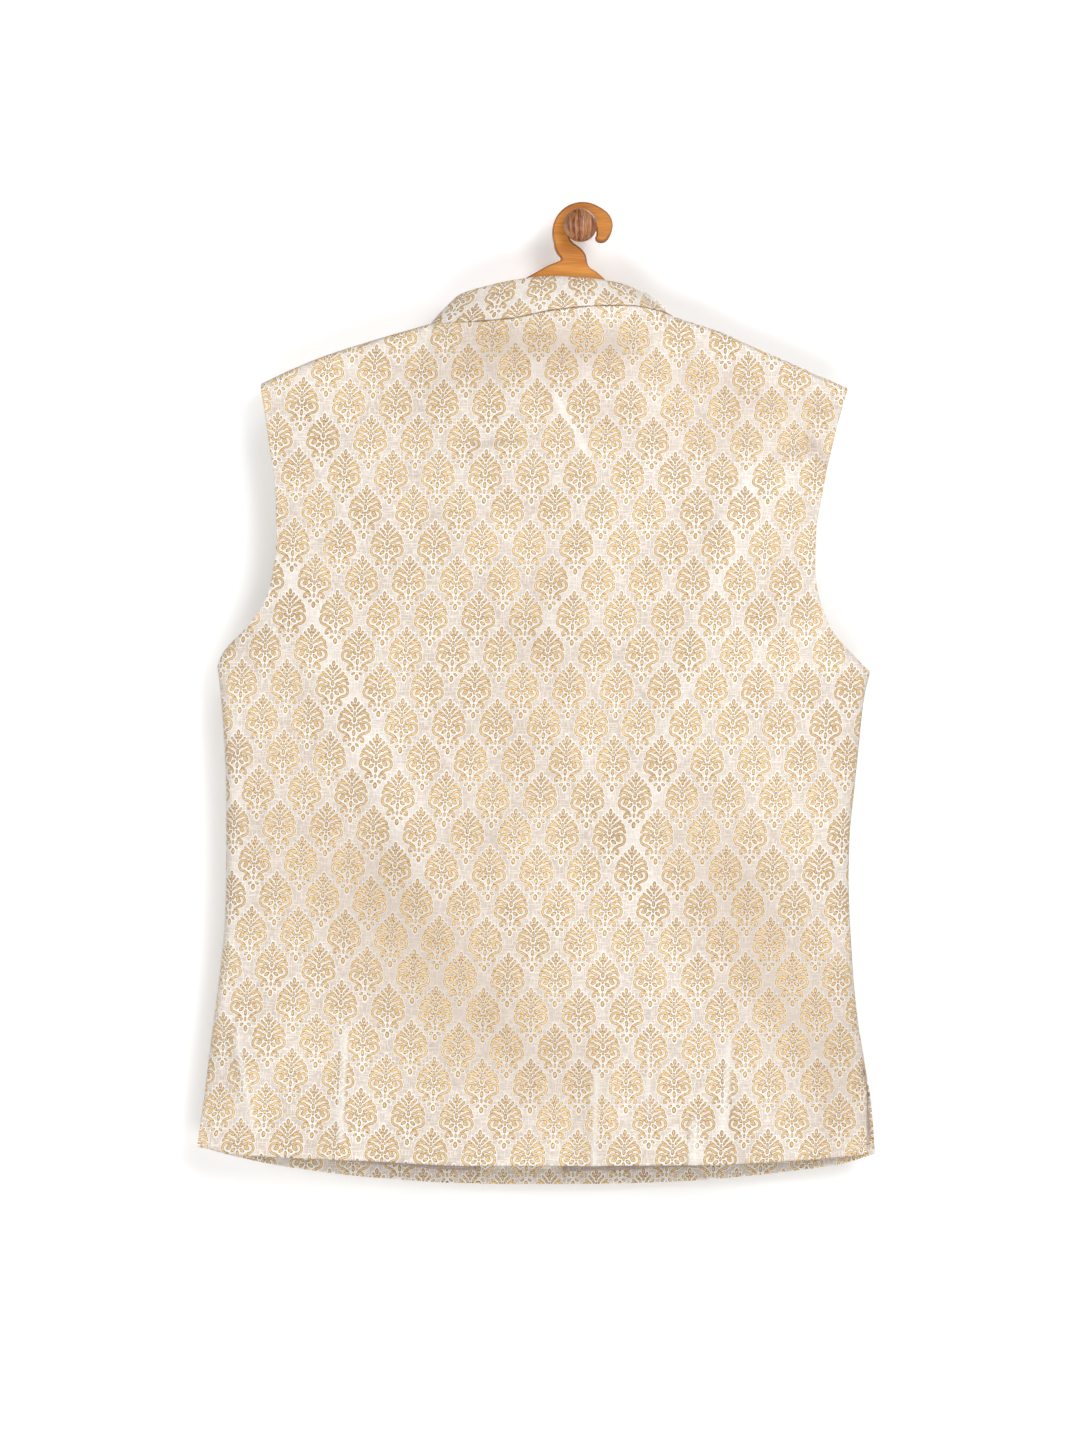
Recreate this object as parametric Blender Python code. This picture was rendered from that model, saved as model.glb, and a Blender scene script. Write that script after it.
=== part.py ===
"""Nehru jacket of brocade, back outward, on a flat wooden hanger hung from a turned wall peg.

Frame: the origin is the centre of the peg's flat back, where it meets the wall. +Y runs into the
wall, so the wall is the plane y = 0 and the whole object lies at y < 0. +X is to the right of
someone who looks at the wall, and +Z is up. The jacket's back faces that viewer, and its fronts
face the wall. Tables are in millimetres, and every mesh is made in metres.
"""
import math

import bmesh
import bpy
import numpy as np

MM = 0.001

# The cloth
CLOTH = 1.6                 # brocade with its interlining, one wall
TURNED = 2.4                # the same wall where the hem is turned up
TURN_UP = 11.0              # height of the turn-up that shows under the lining
LINING = 1.0
SEAM_GAP = 0.3              # between neighbouring pieces
HALF_GAP = SEAM_GAP / 2

# The jacket's places in depth
MID_Y = -42.0               # the plane of the hanger, and of the side and shoulder seams
BACK_DEPTH = 25.0           # how far the back bulges towards the viewer
FRONT_DEPTH = 21.5          # how far the fronts bulge towards the wall
OVERLAP_STEP = 2.9          # the upper front lies this much further out, over the lower front
RIDGE_Y = 10.0              # half the depth of the shoulder fold over the hanger
RIDGE_Z = 8.0               # height over which that fold turns
NECK_FALL = 75.0            # below the neck seam, its roundness eases out over this height
NECK_SPREAD = 0.45          # and by this share it grows wider
NECK_SOFTEN = 1.1           # and its two ends run out softer
FRONT_SPREAD = 0.3          # the same on the fronts, as a share of their top edge
SHOULDER_FALL = 150.0       # below the shoulder, the body reaches its full depth here
SIDE_ROUND = 2.4            # exponent of the rounding towards the side seams
ARMHOLE_GAP = 12.0          # half the gap between back and front at the middle of an armhole

# Outline as it hangs: height and sideways place of the edge, from the side seam's foot upwards
LEFT_SIDE = [{"z": -706.6, "x": -294.8}, {"z": -666, "x": -289.1}, {"z": -630, "x": -284.9},
             {"z": -579, "x": -278.2}, {"z": -531, "x": -273.6}, {"z": -490, "x": -272.6},
             {"z": -440, "x": -272.6}, {"z": -394, "x": -274.4}, {"z": -360, "x": -276.9},
             {"z": -338, "x": -279.5}]
LEFT_ARMHOLE = [{"z": -338, "x": -279.5}, {"z": -330, "x": -276.6}, {"z": -321, "x": -269.7},
                {"z": -312, "x": -260.5}, {"z": -301, "x": -250.9}, {"z": -286.5, "x": -241.5},
                {"z": -271, "x": -236.6}, {"z": -240, "x": -232.9}, {"z": -211, "x": -233.3},
                {"z": -160, "x": -239.5}, {"z": -120.2, "x": -245.5}]
RIGHT_SIDE = [{"z": -712.5, "x": 227.2}, {"z": -675, "x": 224.2}, {"z": -639, "x": 218.3},
              {"z": -605, "x": 213}, {"z": -564, "x": 209.4}, {"z": -501, "x": 206.6},
              {"z": -470, "x": 207.3}, {"z": -432, "x": 211.1}, {"z": -400, "x": 214.3},
              {"z": -364, "x": 218.3}, {"z": -342, "x": 223.2}]
RIGHT_ARMHOLE = [{"z": -342, "x": 223.2}, {"z": -336, "x": 217}, {"z": -329, "x": 210},
                 {"z": -314, "x": 196.1}, {"z": -299.6, "x": 188.4}, {"z": -285, "x": 182.9},
                 {"z": -264, "x": 179.8}, {"z": -233, "x": 180.7}, {"z": -209, "x": 184.6},
                 {"z": -158.7, "x": 195.3}, {"z": -123.3, "x": 205.4}]
BACK_HEM = [{"x": -294.8, "z": -706.6}, {"x": -260, "z": -712.2}, {"x": -176, "z": -715.2},
            {"x": -81, "z": -718.8}, {"x": 30, "z": -718.4}, {"x": 92, "z": -718},
            {"x": 150, "z": -716}, {"x": 227.2, "z": -711}]
FRONT_HEM = [{"x": -294.8, "z": -706.6}, {"x": -260, "z": -716.5}, {"x": -223, "z": -724.3},
             {"x": -152, "z": -733}, {"x": -77, "z": -737.3}, {"x": -12, "z": -737.5},
             {"x": 63, "z": -736}, {"x": 128, "z": -731}, {"x": 198, "z": -721.4},
             {"x": 227.2, "z": -712.5}]
LEFT_SHOULDER = [{"x": -245.5, "z": -120.2}, {"x": -224, "z": -110}, {"x": -199, "z": -99.6},
                 {"x": -158, "z": -86.3}, {"x": -115.2, "z": -74}]
RIGHT_SHOULDER = [{"x": 72.2, "z": -68.6}, {"x": 105, "z": -79.3}, {"x": 142.6, "z": -95.6},
                  {"x": 205.4, "z": -123.3}]
BACK_NECK = [{"x": -115.2, "z": -74}, {"x": -89, "z": -74.3}, {"x": -55, "z": -72.3},
             {"x": -22, "z": -66.1}, {"x": 13, "z": -62.5}, {"x": 38, "z": -61.9},
             {"x": 57.5, "z": -64.4}, {"x": 72.2, "z": -68.6}]

# Shares of the panels' edges where one seam ends and the next begins
UNDERARM = 0.61             # of a side edge: side seam below, armhole above
NECK_START = 0.29           # of the back's top edge: the neck seam's two ends
NECK_END = 0.71
SHOULDER_SHARE = 0.52       # of a front's top edge: shoulder seam, then neck seam
NECK_SHARE = 0.9            # and then the button stand
BACK_NECK_STEPS = 14        # the panels and the collar share these steps along the neck
FRONT_NECK_STEPS = 7

# The side vents
VENT_HEIGHT = 80.0
VENT_LAP = 6.5              # the right front stands out this far past the back at its vent
VENT_OPEN = 3.0             # half the gap between back and front at a vent's foot

# The centre front, where the fronts button over each other
CENTRE_TOP_X = -21.5
CENTRE_TOP_Z = -140.0
CENTRE_FOOT_X = -57.0
CENTRE_FOOT_Z = -737.5
BUTTON_STAND = 22.0         # each front runs this far past the centre line
FRONT_NECK_CURVE = 2.2      # exponent of the neck's fall from shoulder to centre front
EDGE_DROP = 1.5             # the button stand's top lies this far under the collar

# The collar
COLLAR_WALL = 2.2
COLLAR_MID_X = (BACK_NECK[0]["x"] + BACK_NECK[-1]["x"]) / 2
COLLAR_HALF_WIDTH = 93.7    # of the neck seam, seen from above
COLLAR_BACK_DEPTH = 27.0
COLLAR_FRONT_DEPTH = 23.5
FRONT_RING_CURVE = 0.75     # below 1, the neck leaves the hanger's plane sooner
COLLAR_TOP_CENTRE_X = -20.5
COLLAR_TOP_HALF_WIDTH = 77.0
COLLAR_TOP_BACK_DEPTH = 13.5
COLLAR_TOP_FRONT_DEPTH = 16.5
COLLAR_TOP_CURVE = 2.3
COLLAR_TOP_FRONT_Z = -109.0
COLLAR_TOP = [{"turn": 0, "z": -56.5}, {"turn": 22, "z": -51.4}, {"turn": 45, "z": -46.4},
              {"turn": 68, "z": -40.9}, {"turn": 88, "z": -38.5}, {"turn": 108, "z": -39.5},
              {"turn": 130, "z": -43.2}, {"turn": 152, "z": -49.4}, {"turn": 180, "z": -55.2}]
COLLAR_CORNER = 13.0        # radius of the rounded corners at the centre front
COLLAR_END_GAP = 1.5        # half the gap between the collar's two ends
COLLAR_BULGE = 1.2
COLLAR_LIFT = 0.55          # along the collar, from the seam to its lower edge
NECK_LEAN = 0.9             # the seam's end faces lean in by this slope at the neck's two sides
COLLAR_LEVELS = [0, 0.25, 0.55, 0.82, 1.0]
COLLAR_CORNER_SHARES = [0, 0.12, 0.35, 0.65, 1]

# Soft folds that the cloth hangs in: a line from (x0, z0) to (x1, z1), its width and its height
BACK_FOLDS = [
    {"x0": 128, "z0": -215, "x1": 48, "z1": -470, "width": 34, "rise": 4.6},
    {"x0": 5, "z0": -240, "x1": -28, "z1": -320, "width": 22, "rise": 2.6},
    {"x0": -226, "z0": -300, "x1": -120, "z1": -500, "width": 26, "rise": 3.8},
    {"x0": -150, "z0": -520, "x1": -160, "z1": -650, "width": 56, "rise": -4.6},
    {"x0": -30, "z0": -90, "x1": 20, "z1": -96, "width": 14, "rise": -3.4},
    {"x0": -170, "z0": -120, "x1": -140, "z1": -190, "width": 24, "rise": -3.2},
    {"x0": -258, "z0": -640, "x1": -262, "z1": -716, "width": 15, "rise": 2.6},
    {"x0": -179, "z0": -620, "x1": -181, "z1": -720, "width": 14, "rise": 2.6},
    {"x0": -90, "z0": -655, "x1": -94, "z1": -722, "width": 16, "rise": 1.8},
    {"x0": 13, "z0": -640, "x1": 11, "z1": -722, "width": 12, "rise": 2.4},
    {"x0": 108, "z0": -620, "x1": 105, "z1": -722, "width": 15, "rise": 3.0},
    {"x0": 178, "z0": -640, "x1": 182, "z1": -716, "width": 14, "rise": 2.0},
    {"x0": 180, "z0": -175, "x1": 150, "z1": -235, "width": 12, "rise": 1.8},
]
FRONT_FOLDS = [
    {"x0": -200, "z0": -280, "x1": -110, "z1": -480, "width": 30, "rise": 2.4},
    {"x0": 150, "z0": -280, "x1": 70, "z1": -500, "width": 30, "rise": 2.4},
    {"x0": -215, "z0": -610, "x1": -225, "z1": -730, "width": 18, "rise": 2.4},
    {"x0": -140, "z0": -640, "x1": -146, "z1": -738, "width": 15, "rise": 1.8},
    {"x0": 60, "z0": -640, "x1": 62, "z1": -738, "width": 17, "rise": 2.2},
    {"x0": 150, "z0": -620, "x1": 158, "z1": -730, "width": 16, "rise": 2.4},
]

# The buttons
BUTTON_COUNT = 5
BUTTON_RADIUS = 8.5
BUTTON_THICK = 4.6
TOP_BUTTON_Z = -168.0
BUTTON_SPACING = 92.0
BUTTON_LIFT = 0.9           # clears the front's slight slope under a flat button back

# What shows of the lining and facing, inside the fronts' hem
LINED_HEIGHT = 92.0
LINING_INSET = 3.2          # from the vent's edge
FACING_WIDTH = 65.0

# The hanger: a flat board with its hook in one piece
BOARD = 12.0
BOARD_EDGE = 2.0
OUTLINE_STEPS = 3           # between two placed points of the hook and the stem
BOARD_DROP = 2.9            # from the shoulder's outline down to the board
EYE_X = 1.7
EYE_Z = -3.9
EYE_RADIUS = 10.8
HOOK_RADIUS = 23.3
BOARD_LEFT_X = -205.0
BOARD_RIGHT_X = 195.0
BOARD_TIP = 20.0            # height of the board at its ends

# The peg
SHANK_RADIUS = 6.2
BALL_RADIUS = 12.7
BALL_Y = -59.8

BROCADE = (0.84, 0.76, 0.64)
LINING_PINK = (0.66, 0.57, 0.5)
BOARD_WOOD = (0.63, 0.27, 0.08)
PEG_WOOD = (0.3, 0.12, 0.06)
BUTTON_METAL = (0.7, 0.52, 0.26)

for old in list(bpy.data.objects):
    bpy.data.objects.remove(old, do_unlink=True)


def column(rows, name):
    return np.array([row[name] for row in rows], float)


def smooth_through(rows, key, value, at):
    """A smooth curve through a table's rows, without overshoot, read at the given places."""
    known = column(rows, key)
    values = column(rows, value)
    order = np.argsort(known)
    known = known[order]
    values = values[order]
    slope = np.diff(values) / np.diff(known)
    tangent = np.empty_like(values)
    tangent[0] = slope[0]
    tangent[-1] = slope[-1]
    turning = slope[:-1] * slope[1:] <= 0
    middle = 2 * slope[:-1] * slope[1:] / np.where(turning, 1, slope[:-1] + slope[1:])
    tangent[1:-1] = np.where(turning, 0, middle)
    at = np.clip(np.asarray(at, float), known[0], known[-1])
    left = np.clip(np.searchsorted(known, at, side="right") - 1, 0, len(known) - 2)
    step = known[left + 1] - known[left]
    u = (at - known[left]) / step
    return ((2 * u**3 - 3 * u**2 + 1) * values[left] + (u**3 - 2 * u**2 + u) * step * tangent[left]
            + (3 * u**2 - 2 * u**3) * values[left + 1] + (u**3 - u**2) * step * tangent[left + 1])


def ease(value, low, high):
    """0 up to low, 1 from high on, and a smooth step between."""
    u = np.clip((np.asarray(value, float) - low) / (high - low), 0, 1)
    return u * u * (3 - 2 * u)


def fold_height(folds, x, z):
    """Sum of the soft folds at the given points."""
    total = np.zeros_like(x)
    for fold in folds:
        run_x = fold["x1"] - fold["x0"]
        run_z = fold["z1"] - fold["z0"]
        length = math.hypot(run_x, run_z)
        along = ((x - fold["x0"]) * run_x + (z - fold["z0"]) * run_z) / length
        across = ((x - fold["x0"]) * run_z - (z - fold["z0"]) * run_x) / length
        beyond = np.maximum(0, np.maximum(-along, along - length))
        reach = np.hypot(across, beyond * 0.5)
        total += fold["rise"] * np.exp(-((reach / fold["width"]) ** 2))
    return total


def centre_x(z):
    """The centre front line, which leans a little as the jacket hangs."""
    share = (CENTRE_TOP_Z - z) / (CENTRE_TOP_Z - CENTRE_FOOT_Z)
    return CENTRE_TOP_X + (CENTRE_FOOT_X - CENTRE_TOP_X) * share


def overlap_step(x, z):
    """How far the upper front stands off, so that it passes over the lower one."""
    edge = centre_x(z) - BUTTON_STAND
    return OVERLAP_STEP * ease(x, edge - 38, edge - 4)


def left_edge(z):
    """Sideways place of the jacket's left edge at a height."""
    low = smooth_through(LEFT_SIDE, "z", "x", z)
    high = smooth_through(LEFT_ARMHOLE, "z", "x", z)
    return np.where(z > LEFT_ARMHOLE[0]["z"], high, low)


def right_edge(z):
    low = smooth_through(RIGHT_SIDE, "z", "x", z)
    high = smooth_through(RIGHT_ARMHOLE, "z", "x", z)
    return np.where(z > RIGHT_ARMHOLE[0]["z"], high, low)


def vent_share(z, foot):
    """0 above a side vent, growing to 1 at its foot."""
    return ease(z, foot + VENT_HEIGHT, foot)


def front_ring_depth(turn):
    return COLLAR_FRONT_DEPTH * np.abs(np.sin(turn)) ** FRONT_RING_CURVE


def neck_ring(turn, at_front):
    """The neck seam, seen from above an ellipse: turn is 0 at its left end and pi at its right."""
    x = COLLAR_MID_X - COLLAR_HALF_WIDTH * np.cos(turn)
    if not at_front:
        y = MID_Y - HALF_GAP - COLLAR_BACK_DEPTH * np.sin(turn)
        return x, y, smooth_through(BACK_NECK, "x", "z", x)
    y = MID_Y + HALF_GAP + front_ring_depth(turn)
    side = np.where(turn < math.pi / 2, BACK_NECK[0]["z"], BACK_NECK[-1]["z"])
    z = side + (CENTRE_TOP_Z - side) * np.abs(np.sin(turn)) ** FRONT_NECK_CURVE
    y = y + np.where(turn < math.pi / 2, overlap_step(x, z), 0)
    return x, y, z


def blend_patch(s, t, foot, top, left, right):
    """Sideways place and height inside four edge curves, each a function of a share along it."""
    x = np.zeros_like(s)
    z = np.zeros_like(s)
    zero = np.zeros(1)
    one = np.ones(1)
    corners = [foot(zero), foot(one), top(zero), top(one)]
    for axis, out in ((0, x), (1, z)):
        out += (1 - t) * foot(s)[axis] + t * top(s)[axis]
        out += (1 - s) * left(t)[axis] + s * right(t)[axis]
        out -= (1 - s) * (1 - t) * corners[0][axis] + s * (1 - t) * corners[1][axis]
        out -= (1 - s) * t * corners[2][axis] + s * t * corners[3][axis]
    return x, z


def edge_run(edge, foot_z, underarm_z, tip_z):
    """A side edge as a function of its share: side seam up to UNDERARM, then the armhole."""
    def place(t):
        low = foot_z + (underarm_z - foot_z) * np.clip(t / UNDERARM, 0, 1)
        high = underarm_z + (tip_z - underarm_z) * np.clip((t - UNDERARM) / (1 - UNDERARM), 0, 1)
        z = np.where(t < UNDERARM, low, high)
        return edge(z), z
    return place


LEFT_RUN = edge_run(left_edge, LEFT_SIDE[0]["z"], LEFT_ARMHOLE[0]["z"], LEFT_ARMHOLE[-1]["z"])
RIGHT_RUN = edge_run(right_edge, RIGHT_SIDE[0]["z"], RIGHT_ARMHOLE[0]["z"], RIGHT_ARMHOLE[-1]["z"])


def back_foot(s):
    x = LEFT_SIDE[0]["x"] + (RIGHT_SIDE[0]["x"] - VENT_LAP - LEFT_SIDE[0]["x"]) * s
    return x, smooth_through(BACK_HEM, "x", "z", x)


def back_right(t):
    x, z = RIGHT_RUN(t)
    return x - VENT_LAP * vent_share(z, RIGHT_SIDE[0]["z"]), z


def shoulder_run(rows, share):
    x = rows[0]["x"] + (rows[-1]["x"] - rows[0]["x"]) * np.clip(share, 0, 1)
    return x, smooth_through(rows, "x", "z", x)


def back_top(s):
    left = shoulder_run(LEFT_SHOULDER, s / NECK_START)
    right = shoulder_run(RIGHT_SHOULDER, (s - NECK_END) / (1 - NECK_END))
    turn = math.pi * np.clip((s - NECK_START) / (NECK_END - NECK_START), 0, 1)
    neck_x, _, neck_z = neck_ring(turn, False)
    x = np.where(s < NECK_START, left[0], np.where(s > NECK_END, right[0], neck_x))
    z = np.where(s < NECK_START, left[1], np.where(s > NECK_END, right[1], neck_z))
    return x, z


def front_top(rows, sign):
    """A front's top edge from its shoulder tip to its front edge."""
    def place(s):
        share = s if sign < 0 else 1 - s
        along = np.clip(share / SHOULDER_SHARE, 0, 1)
        shoulder = shoulder_run(rows, along if sign < 0 else 1 - along)
        around = np.clip((share - SHOULDER_SHARE) / (NECK_SHARE - SHOULDER_SHARE), 0, 1)
        turn = math.pi / 2 * around if sign < 0 else math.pi - math.pi / 2 * around
        neck_x, _, neck_z = neck_ring(turn, True)
        stand = np.clip((share - NECK_SHARE) / (1 - NECK_SHARE), 0, 1)
        x = np.where(share < SHOULDER_SHARE, shoulder[0], neck_x - sign * BUTTON_STAND * stand)
        drop = EDGE_DROP * ease(stand, 0, 0.4)
        z = np.where(share < SHOULDER_SHARE, shoulder[1], neck_z - drop)
        return x, z
    return place


def front_edge(sign):
    """A front's own edge, from the hem up to the neck."""
    def place(t):
        z = CENTRE_FOOT_Z + (CENTRE_TOP_Z - EDGE_DROP - CENTRE_FOOT_Z) * t
        return centre_x(z) - sign * BUTTON_STAND, z
    return place


def front_foot(sign):
    def place(s):
        edge = centre_x(np.full_like(s, CENTRE_FOOT_Z)) - sign * BUTTON_STAND
        start = LEFT_SIDE[0]["x"] if sign < 0 else edge
        end = edge if sign < 0 else RIGHT_SIDE[0]["x"]
        x = start + (end - start) * s
        return x, smooth_through(FRONT_HEM, "x", "z", x)
    return place


def side_profile(x, z, left_x, right_x, depth, seam_depth):
    """Depth of a panel from its distance to the side edges, closed at the seams and open at the
    armholes and vents."""
    middle = (left_x + right_x) / 2
    half = (right_x - left_x) / 2
    off = np.clip(np.abs(x - middle) / half, 0, 1)
    underarm = np.where(x < middle, LEFT_ARMHOLE[0]["z"], RIGHT_ARMHOLE[0]["z"])
    tip = np.where(x < middle, LEFT_ARMHOLE[-1]["z"], RIGHT_ARMHOLE[-1]["z"])
    foot = np.where(x < middle, LEFT_SIDE[0]["z"], RIGHT_SIDE[0]["z"])
    rise = np.clip((z - underarm) / (tip - underarm), 0, 1)
    armhole = HALF_GAP + ARMHOLE_GAP * np.sin(math.pi / 2 * np.minimum(1, rise / 0.35))
    vent = HALF_GAP + seam_depth * vent_share(z, foot)
    edge = np.where(z > underarm, armhole, vent)
    closed = (1 - off**SIDE_ROUND) ** (1 / SIDE_ROUND)
    free = 1 - off**3
    openness = np.maximum(ease(z, underarm, underarm + 45), vent_share(z, foot))
    shape = closed + (free - closed) * openness
    return edge + (depth - edge) * shape


def shoulder_arch(below, at_neck):
    """The fold over the hanger's board: depth at a distance below the top edge."""
    share = np.clip(below / RIDGE_Z, 0, 1)
    return RIDGE_Y * (1 - (1 - share) ** 3) ** (1 / 3) * (1 - at_neck) + at_neck * 4 * share


def back_depth(x, z, s):
    """How far the back stands off the seam plane, towards the viewer."""
    top_x, top_z = back_top(s)
    below = np.maximum(0, top_z - z)
    half = COLLAR_HALF_WIDTH * (1 + NECK_SPREAD * ease(below, 0, NECK_FALL))
    round_off = 0.5 + NECK_SOFTEN * ease(below, 0, NECK_FALL)
    off = (top_x - COLLAR_MID_X) / half
    ring = np.clip(1 - off**2, 0, 1) ** round_off * COLLAR_BACK_DEPTH
    start = np.hypot(ring + HALF_GAP, shoulder_arch(below, ring / COLLAR_BACK_DEPTH))
    left = left_edge(z)
    right = right_edge(z) - VENT_LAP * vent_share(z, RIGHT_SIDE[0]["z"])
    body = side_profile(x, z, left, right, BACK_DEPTH, VENT_OPEN)
    depth = start + (body - start) * ease(below, 0, SHOULDER_FALL)
    calm = ease(below, 4, 40) * np.clip((body - HALF_GAP) / 12, 0, 1)
    return depth + fold_height(BACK_FOLDS, x, z) * calm


def front_depth(x, z, s, sign, top):
    """How far a front stands off the seam plane, towards the wall."""
    top_x, top_z = top(s)
    below = np.maximum(0, top_z - z)
    share = s if sign < 0 else 1 - s
    spread_start = SHOULDER_SHARE - FRONT_SPREAD * ease(below, 0, NECK_FALL)
    around = np.clip((share - spread_start) / (NECK_SHARE - spread_start), 0, 1)
    round_off = FRONT_RING_CURVE + NECK_SOFTEN * ease(below, 0, NECK_FALL)
    ring = COLLAR_FRONT_DEPTH * np.sin(math.pi / 2 * around) ** round_off
    start = np.hypot(ring + HALF_GAP, shoulder_arch(below, ring / COLLAR_FRONT_DEPTH))
    body = side_profile(x, z, left_edge(z), right_edge(z), FRONT_DEPTH, VENT_OPEN)
    depth = start + (body - start) * ease(below, 0, SHOULDER_FALL)
    calm = ease(below, 4, 40) * np.clip((body - HALF_GAP) / 12, 0, 1)
    depth = depth + fold_height(FRONT_FOLDS, x, z) * calm
    if sign < 0:
        depth = depth + overlap_step(x, z)
    return depth


def back_surface(s, t):
    """Outer face of the back at shares s across and t up, in millimetres."""
    x, z = blend_patch(s, t, back_foot, back_top, LEFT_RUN, back_right)
    return np.stack([x, MID_Y - back_depth(x, z, s), z], -1)


def front_surface(sign):
    """Outer face of a front: sign is -1 for the wearer's left one, and 1 for the right one."""
    foot = front_foot(sign)
    top = front_top(LEFT_SHOULDER if sign < 0 else RIGHT_SHOULDER, sign)
    left = LEFT_RUN if sign < 0 else front_edge(sign)
    right = front_edge(sign) if sign < 0 else RIGHT_RUN

    def surface(s, t):
        x, z = blend_patch(s, t, foot, top, left, right)
        return np.stack([x, MID_Y + front_depth(x, z, s, sign, top), z], -1)
    return surface


def outward(surface, s, t, flip):
    """Unit normals of a surface, from small steps across and up."""
    step = 0.0006
    across = surface(np.minimum(1, s + step), t) - surface(np.maximum(0, s - step), t)
    up = surface(s, np.minimum(1, t + step)) - surface(s, np.maximum(0, t - step))
    normal = np.cross(across, up) * (-1 if flip else 1)
    return normal / np.linalg.norm(normal, axis=-1, keepdims=True)


def unit(vector):
    return vector / np.linalg.norm(vector, axis=-1, keepdims=True)


def seam_normals(normal, held):
    """Where a piece meets its neighbour, its end face lies in the seam's own plane."""
    level = normal.copy()
    level[..., 1] *= 1 - held
    return unit(level)


def material(name, color, roughness, metallic=0.0):
    made = bpy.data.materials.new(name)
    made.use_nodes = True
    shader = made.node_tree.nodes["Principled BSDF"]
    shader.inputs["Base Color"].default_value = (*color, 1)
    shader.inputs["Roughness"].default_value = roughness
    shader.inputs["Metallic"].default_value = metallic
    made.diffuse_color = (*color, 1)
    return made


def add_object(name, mesh, look, smooth_angle=None):
    thing = bpy.data.objects.new(name, mesh)
    bpy.context.scene.collection.objects.link(thing)
    mesh.materials.append(look)
    if smooth_angle is not None:
        mesh.shade_smooth()
        mesh.set_sharp_from_angle(angle=smooth_angle)
    return thing


def wall(name, outer, inner, look):
    """A closed wall between two grids of points in millimetres."""
    rows, columns = outer.shape[:2]
    mesh = bpy.data.meshes.new(name)
    shape = bmesh.new()
    faces = []
    grids = []
    for grid in (outer, inner):
        flat = grid.reshape(-1, 3) * MM
        grids.append([shape.verts.new(tuple(point)) for point in flat])
    for grid in grids:
        for row in range(rows - 1):
            for col in range(columns - 1):
                first = row * columns + col
                faces.append((grid[first], grid[first + 1], grid[first + columns + 1],
                              grid[first + columns]))
    rim = [col for col in range(columns)]
    rim += [row * columns + columns - 1 for row in range(1, rows)]
    rim += [(rows - 1) * columns + col for col in range(columns - 2, -1, -1)]
    rim += [row * columns for row in range(rows - 2, 0, -1)]
    for first, second in zip(rim, rim[1:] + rim[:1]):
        faces.append((grids[0][first], grids[0][second], grids[1][second], grids[1][first]))
    for face in faces:
        shape.faces.new(face)
    bmesh.ops.recalc_face_normals(shape, faces=shape.faces)
    shape.to_mesh(mesh)
    shape.free()
    return add_object(name, mesh, look, math.radians(50))


def spaced(stops):
    """Shares along an edge: each stop is a share, and the number of steps that lead up to it."""
    shares = [0.0]
    for stop, steps in stops:
        start = shares[-1]
        shares += [start + (stop - start) * (i + 1) / steps for i in range(steps)]
    return np.array(shares)


UP_SHARES = spaced([(0.0035, 1), (0.018, 1), (0.14, 3), (0.55, 7), (UNDERARM, 2), (0.68, 3),
                    (0.9, 4), (0.965, 2), (0.985, 1), (0.9935, 1), (0.9975, 1), (0.9992, 1), (1, 1)])


def neck_flat(turn):
    """Outward direction that lies in the plane of the neck seam's end faces."""
    step = 0.002
    level = np.zeros_like(turn)
    along = unit(collar_point(turn + step, level) - collar_point(turn - step, level))
    upright = np.stack([NECK_LEAN * np.sin(turn) ** 3, level, level + 1], -1)
    upright = unit(upright - (upright * along).sum(-1, keepdims=True) * along)
    return unit(np.cross(along, upright))


def back_neck_turns(s):
    """The collar's turn above each column of the back, and nan along the shoulders."""
    share = (s - NECK_START) / (NECK_END - NECK_START)
    inside = (share > -1e-6) & (share < 1 + 1e-6)
    return np.where(inside, math.pi / 2 + math.pi * share, np.nan)


def front_neck_turns(sign):
    def turns(s):
        from_side = s if sign < 0 else 1 - s
        around = (from_side - SHOULDER_SHARE) / (NECK_SHARE - SHOULDER_SHARE)
        inside = (around > -1e-6) & (around < 1 + 1e-6)
        left = math.pi / 2 * (1 - around)
        return np.where(inside, left if sign < 0 else 2 * math.pi - left, np.nan)
    return turns


def panel(name, surface, across, flip, seams, neck_turns, look):
    """One cut piece of the body, with its hem turned up inside."""
    s, t = np.meshgrid(across, UP_SHARES)
    outer = surface(s, t)
    normal = outward(surface, s, t, flip)
    normal = seam_normals(normal, seams(s, t))
    turns = neck_turns(across)
    at_neck = ~np.isnan(turns)
    normal[-1, at_neck] = neck_flat(turns[at_neck])
    foot_z = outer[0:1, :, 2]
    thick = np.where(outer[..., 2] - foot_z < TURN_UP + 0.5, TURNED, CLOTH)
    inner = outer - normal * thick[..., None]
    return wall(name, outer, inner, look)


def seams_of_back(s, t):
    """1 along the side and shoulder seams, fading out at the armholes."""
    at_side = ((s < 1e-6) | (s > 1 - 1e-6)) * (1 - ease(t, UNDERARM, UNDERARM + 0.06))
    at_top = (t > 1 - 1e-6) * ((s <= NECK_START) | (s >= NECK_END))
    return np.maximum(at_side, at_top)


def seams_of_front(sign):
    def share(s, t):
        from_side = s if sign < 0 else 1 - s
        at_side = (from_side < 1e-6) * (1 - ease(t, UNDERARM, UNDERARM + 0.06))
        at_top = (t > 1 - 1e-6) * (from_side <= SHOULDER_SHARE)
        return np.maximum(at_side, at_top)
    return share


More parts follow.
